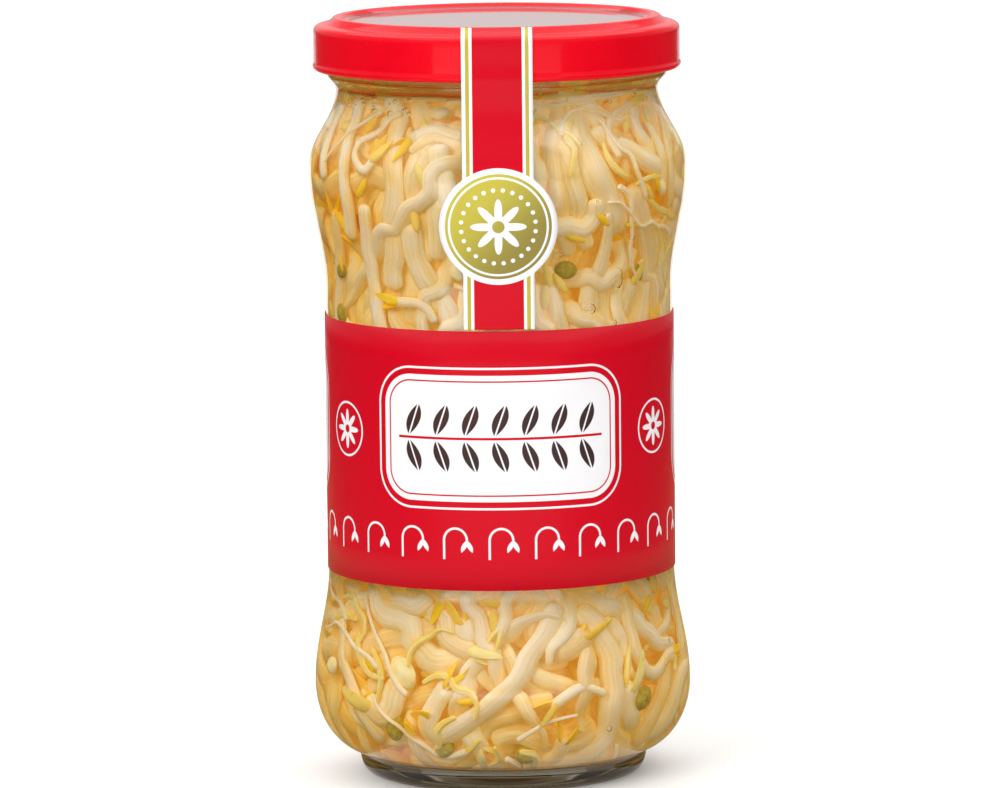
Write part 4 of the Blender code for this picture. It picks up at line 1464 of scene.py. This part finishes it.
def lay_floor(scene):
    """White paper to lie on, with a painted dark shadow inside the jar's bearing ring."""
    half = FLOOR_HALF
    mesh = bpy.data.meshes.new("floor")
    corners = [(-half, -half, 0.0), (half, -half, 0.0), (half, half, 0.0), (-half, half, 0.0)]
    mesh.from_pydata(corners, [], [(0, 1, 2, 3)])
    floor = bpy.data.objects.new("floor", mesh)
    scene.collection.objects.link(floor)
    ground = Finish("floor_paper", Roughness=0.7)
    away = ground.node("ShaderNodeVectorMath", {"operation": "LENGTH"}, {0: ground.place()})["Value"]
    # A painted contact shadow under the jar, which shows through the base glass.
    painted_contact_shadow = 1 - away.step(BEARING_R - 0.0012, BEARING_R)
    base = ground.mix(painted_contact_shadow, (0.93, 0.93, 0.92), (0.06, 0.045, 0.02))
    ground.feed(ground.shader, {"Base Color": base})
    mesh.materials.append(ground.material)


def set_cards():
    """Black cards upright at both sides, and brown ones lying beside, behind and before the jar, which
    only the glass shows, as painted shade of the floor round and under it.
    """
    black = Finish("flag_card", Base_Color=(0.05, 0.045, 0.04), Roughness=0.9).material
    brown = Finish("floor_shade_card", Base_Color=(0.30, 0.21, 0.08), Roughness=0.9).material
    front, back = CARD_FRONT_Y, CARD_BACK_Y
    for side in (-1, 1):
        upright = ((front, 0.0), (back, 0.0), (back, CARD_TOP_Z), (front, CARD_TOP_Z))
        dark_card([(side * CARD_X, y, z) for y, z in upright], black)
        beside = ((FOOT_X, front), (CARD_X, front), (CARD_X, back), (FOOT_X, back))
        far = back if side > 0 else -front
        between = ((-FOOT_X, FOOT_Y), (FOOT_X, FOOT_Y), (FOOT_X, far), (-FOOT_X, far))
        lying = (
            [(side * x, y, LYING_Z) for x, y in beside],
            [(x, side * y, LYING_Z) for x, y in between],
        )
        # The lying cards are painted shade: no camera ray, lamp or bounce meets them, only the glass's
        # reflections and what shows through it.
        for corners in lying:
            dark_card(corners, brown).visible_diffuse = False


def photo_camera(scene):
    """The camera as it stood for the photograph."""
    view = bpy.data.cameras.new("photo_camera")
    view.sensor_width = SENSOR_MM
    view.lens = FOCAL_PIXELS / PHOTO_WIDTH * SENSOR_MM
    view.clip_start, view.clip_end = 0.05, 20.0
    camera = bpy.data.objects.new("photo_camera", view)
    scene.collection.objects.link(camera)
    sight, right, up = camera_axes()
    camera.matrix_world = Matrix.Translation(EYE) @ Matrix((right, up, -sight)).transposed().to_4x4()
    scene.camera = camera


class JAR_OT_stage(bpy.types.Operator):
    """Set the floor, the soft light and the camera"""

    bl_idname = "sprout_jar.stage"
    bl_label = "Stage"

    def execute(self, context):
        scene = context.scene
        strength = scene.sprout_jar.stage.light
        lay_floor(scene)
        set_cards()
        world = bpy.data.worlds.new("studio")
        world.use_nodes = True
        sky = world.node_tree.nodes["Background"].inputs
        sky["Color"].default_value = SKY
        sky["Strength"].default_value = SKY_STRENGTH
        scene.world = world
        for name, place, target, size, watts, mirrored in LAMPS:
            soft_box(name, place, target, size, watts * strength, mirrored)
        photo_camera(scene)
        scene.view_settings.view_transform = "Standard"
        return {"FINISHED"}


class JAR_PT_panel(bpy.types.Panel):
    """The steps in their order, with what a user would change"""

    bl_idname = "JAR_PT_panel"
    bl_label = "Jar of bean sprouts"
    bl_space_type = "VIEW_3D"
    bl_region_type = "UI"
    bl_category = "Sprout jar"

    def draw(self, context):
        settings = context.scene.sprout_jar
        for group in (settings.jar, settings.sprouts, settings.papers, settings.stage):
            box = self.layout.box()
            for name in group.__annotations__:
                box.prop(group, name)
        for step in STEPS:
            self.layout.operator(step.bl_idname)


GROUPS = (JarSizes, SproutLook, PaperLook, StageLook, SproutJar)
STEPS = (JAR_OT_stage, JAR_OT_glass, JAR_OT_lid, JAR_OT_papers, JAR_OT_sprouts, JAR_OT_brine)


def register():
    """Adds the settings, the operators and the panel."""
    for made in (*GROUPS, *STEPS, JAR_PT_panel):
        bpy.utils.register_class(made)
    bpy.types.Scene.sprout_jar = PointerProperty(type=SproutJar)


def unregister():
    """Takes them away again."""
    del bpy.types.Scene.sprout_jar
    for made in reversed((*GROUPS, *STEPS, JAR_PT_panel)):
        bpy.utils.unregister_class(made)


def main():
    """Runs every step."""
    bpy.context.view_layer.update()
    register()
    for step in STEPS:
        group, name = step.bl_idname.split(".")
        getattr(getattr(bpy.ops, group), name)()


if __name__ == "__main__":
    main()
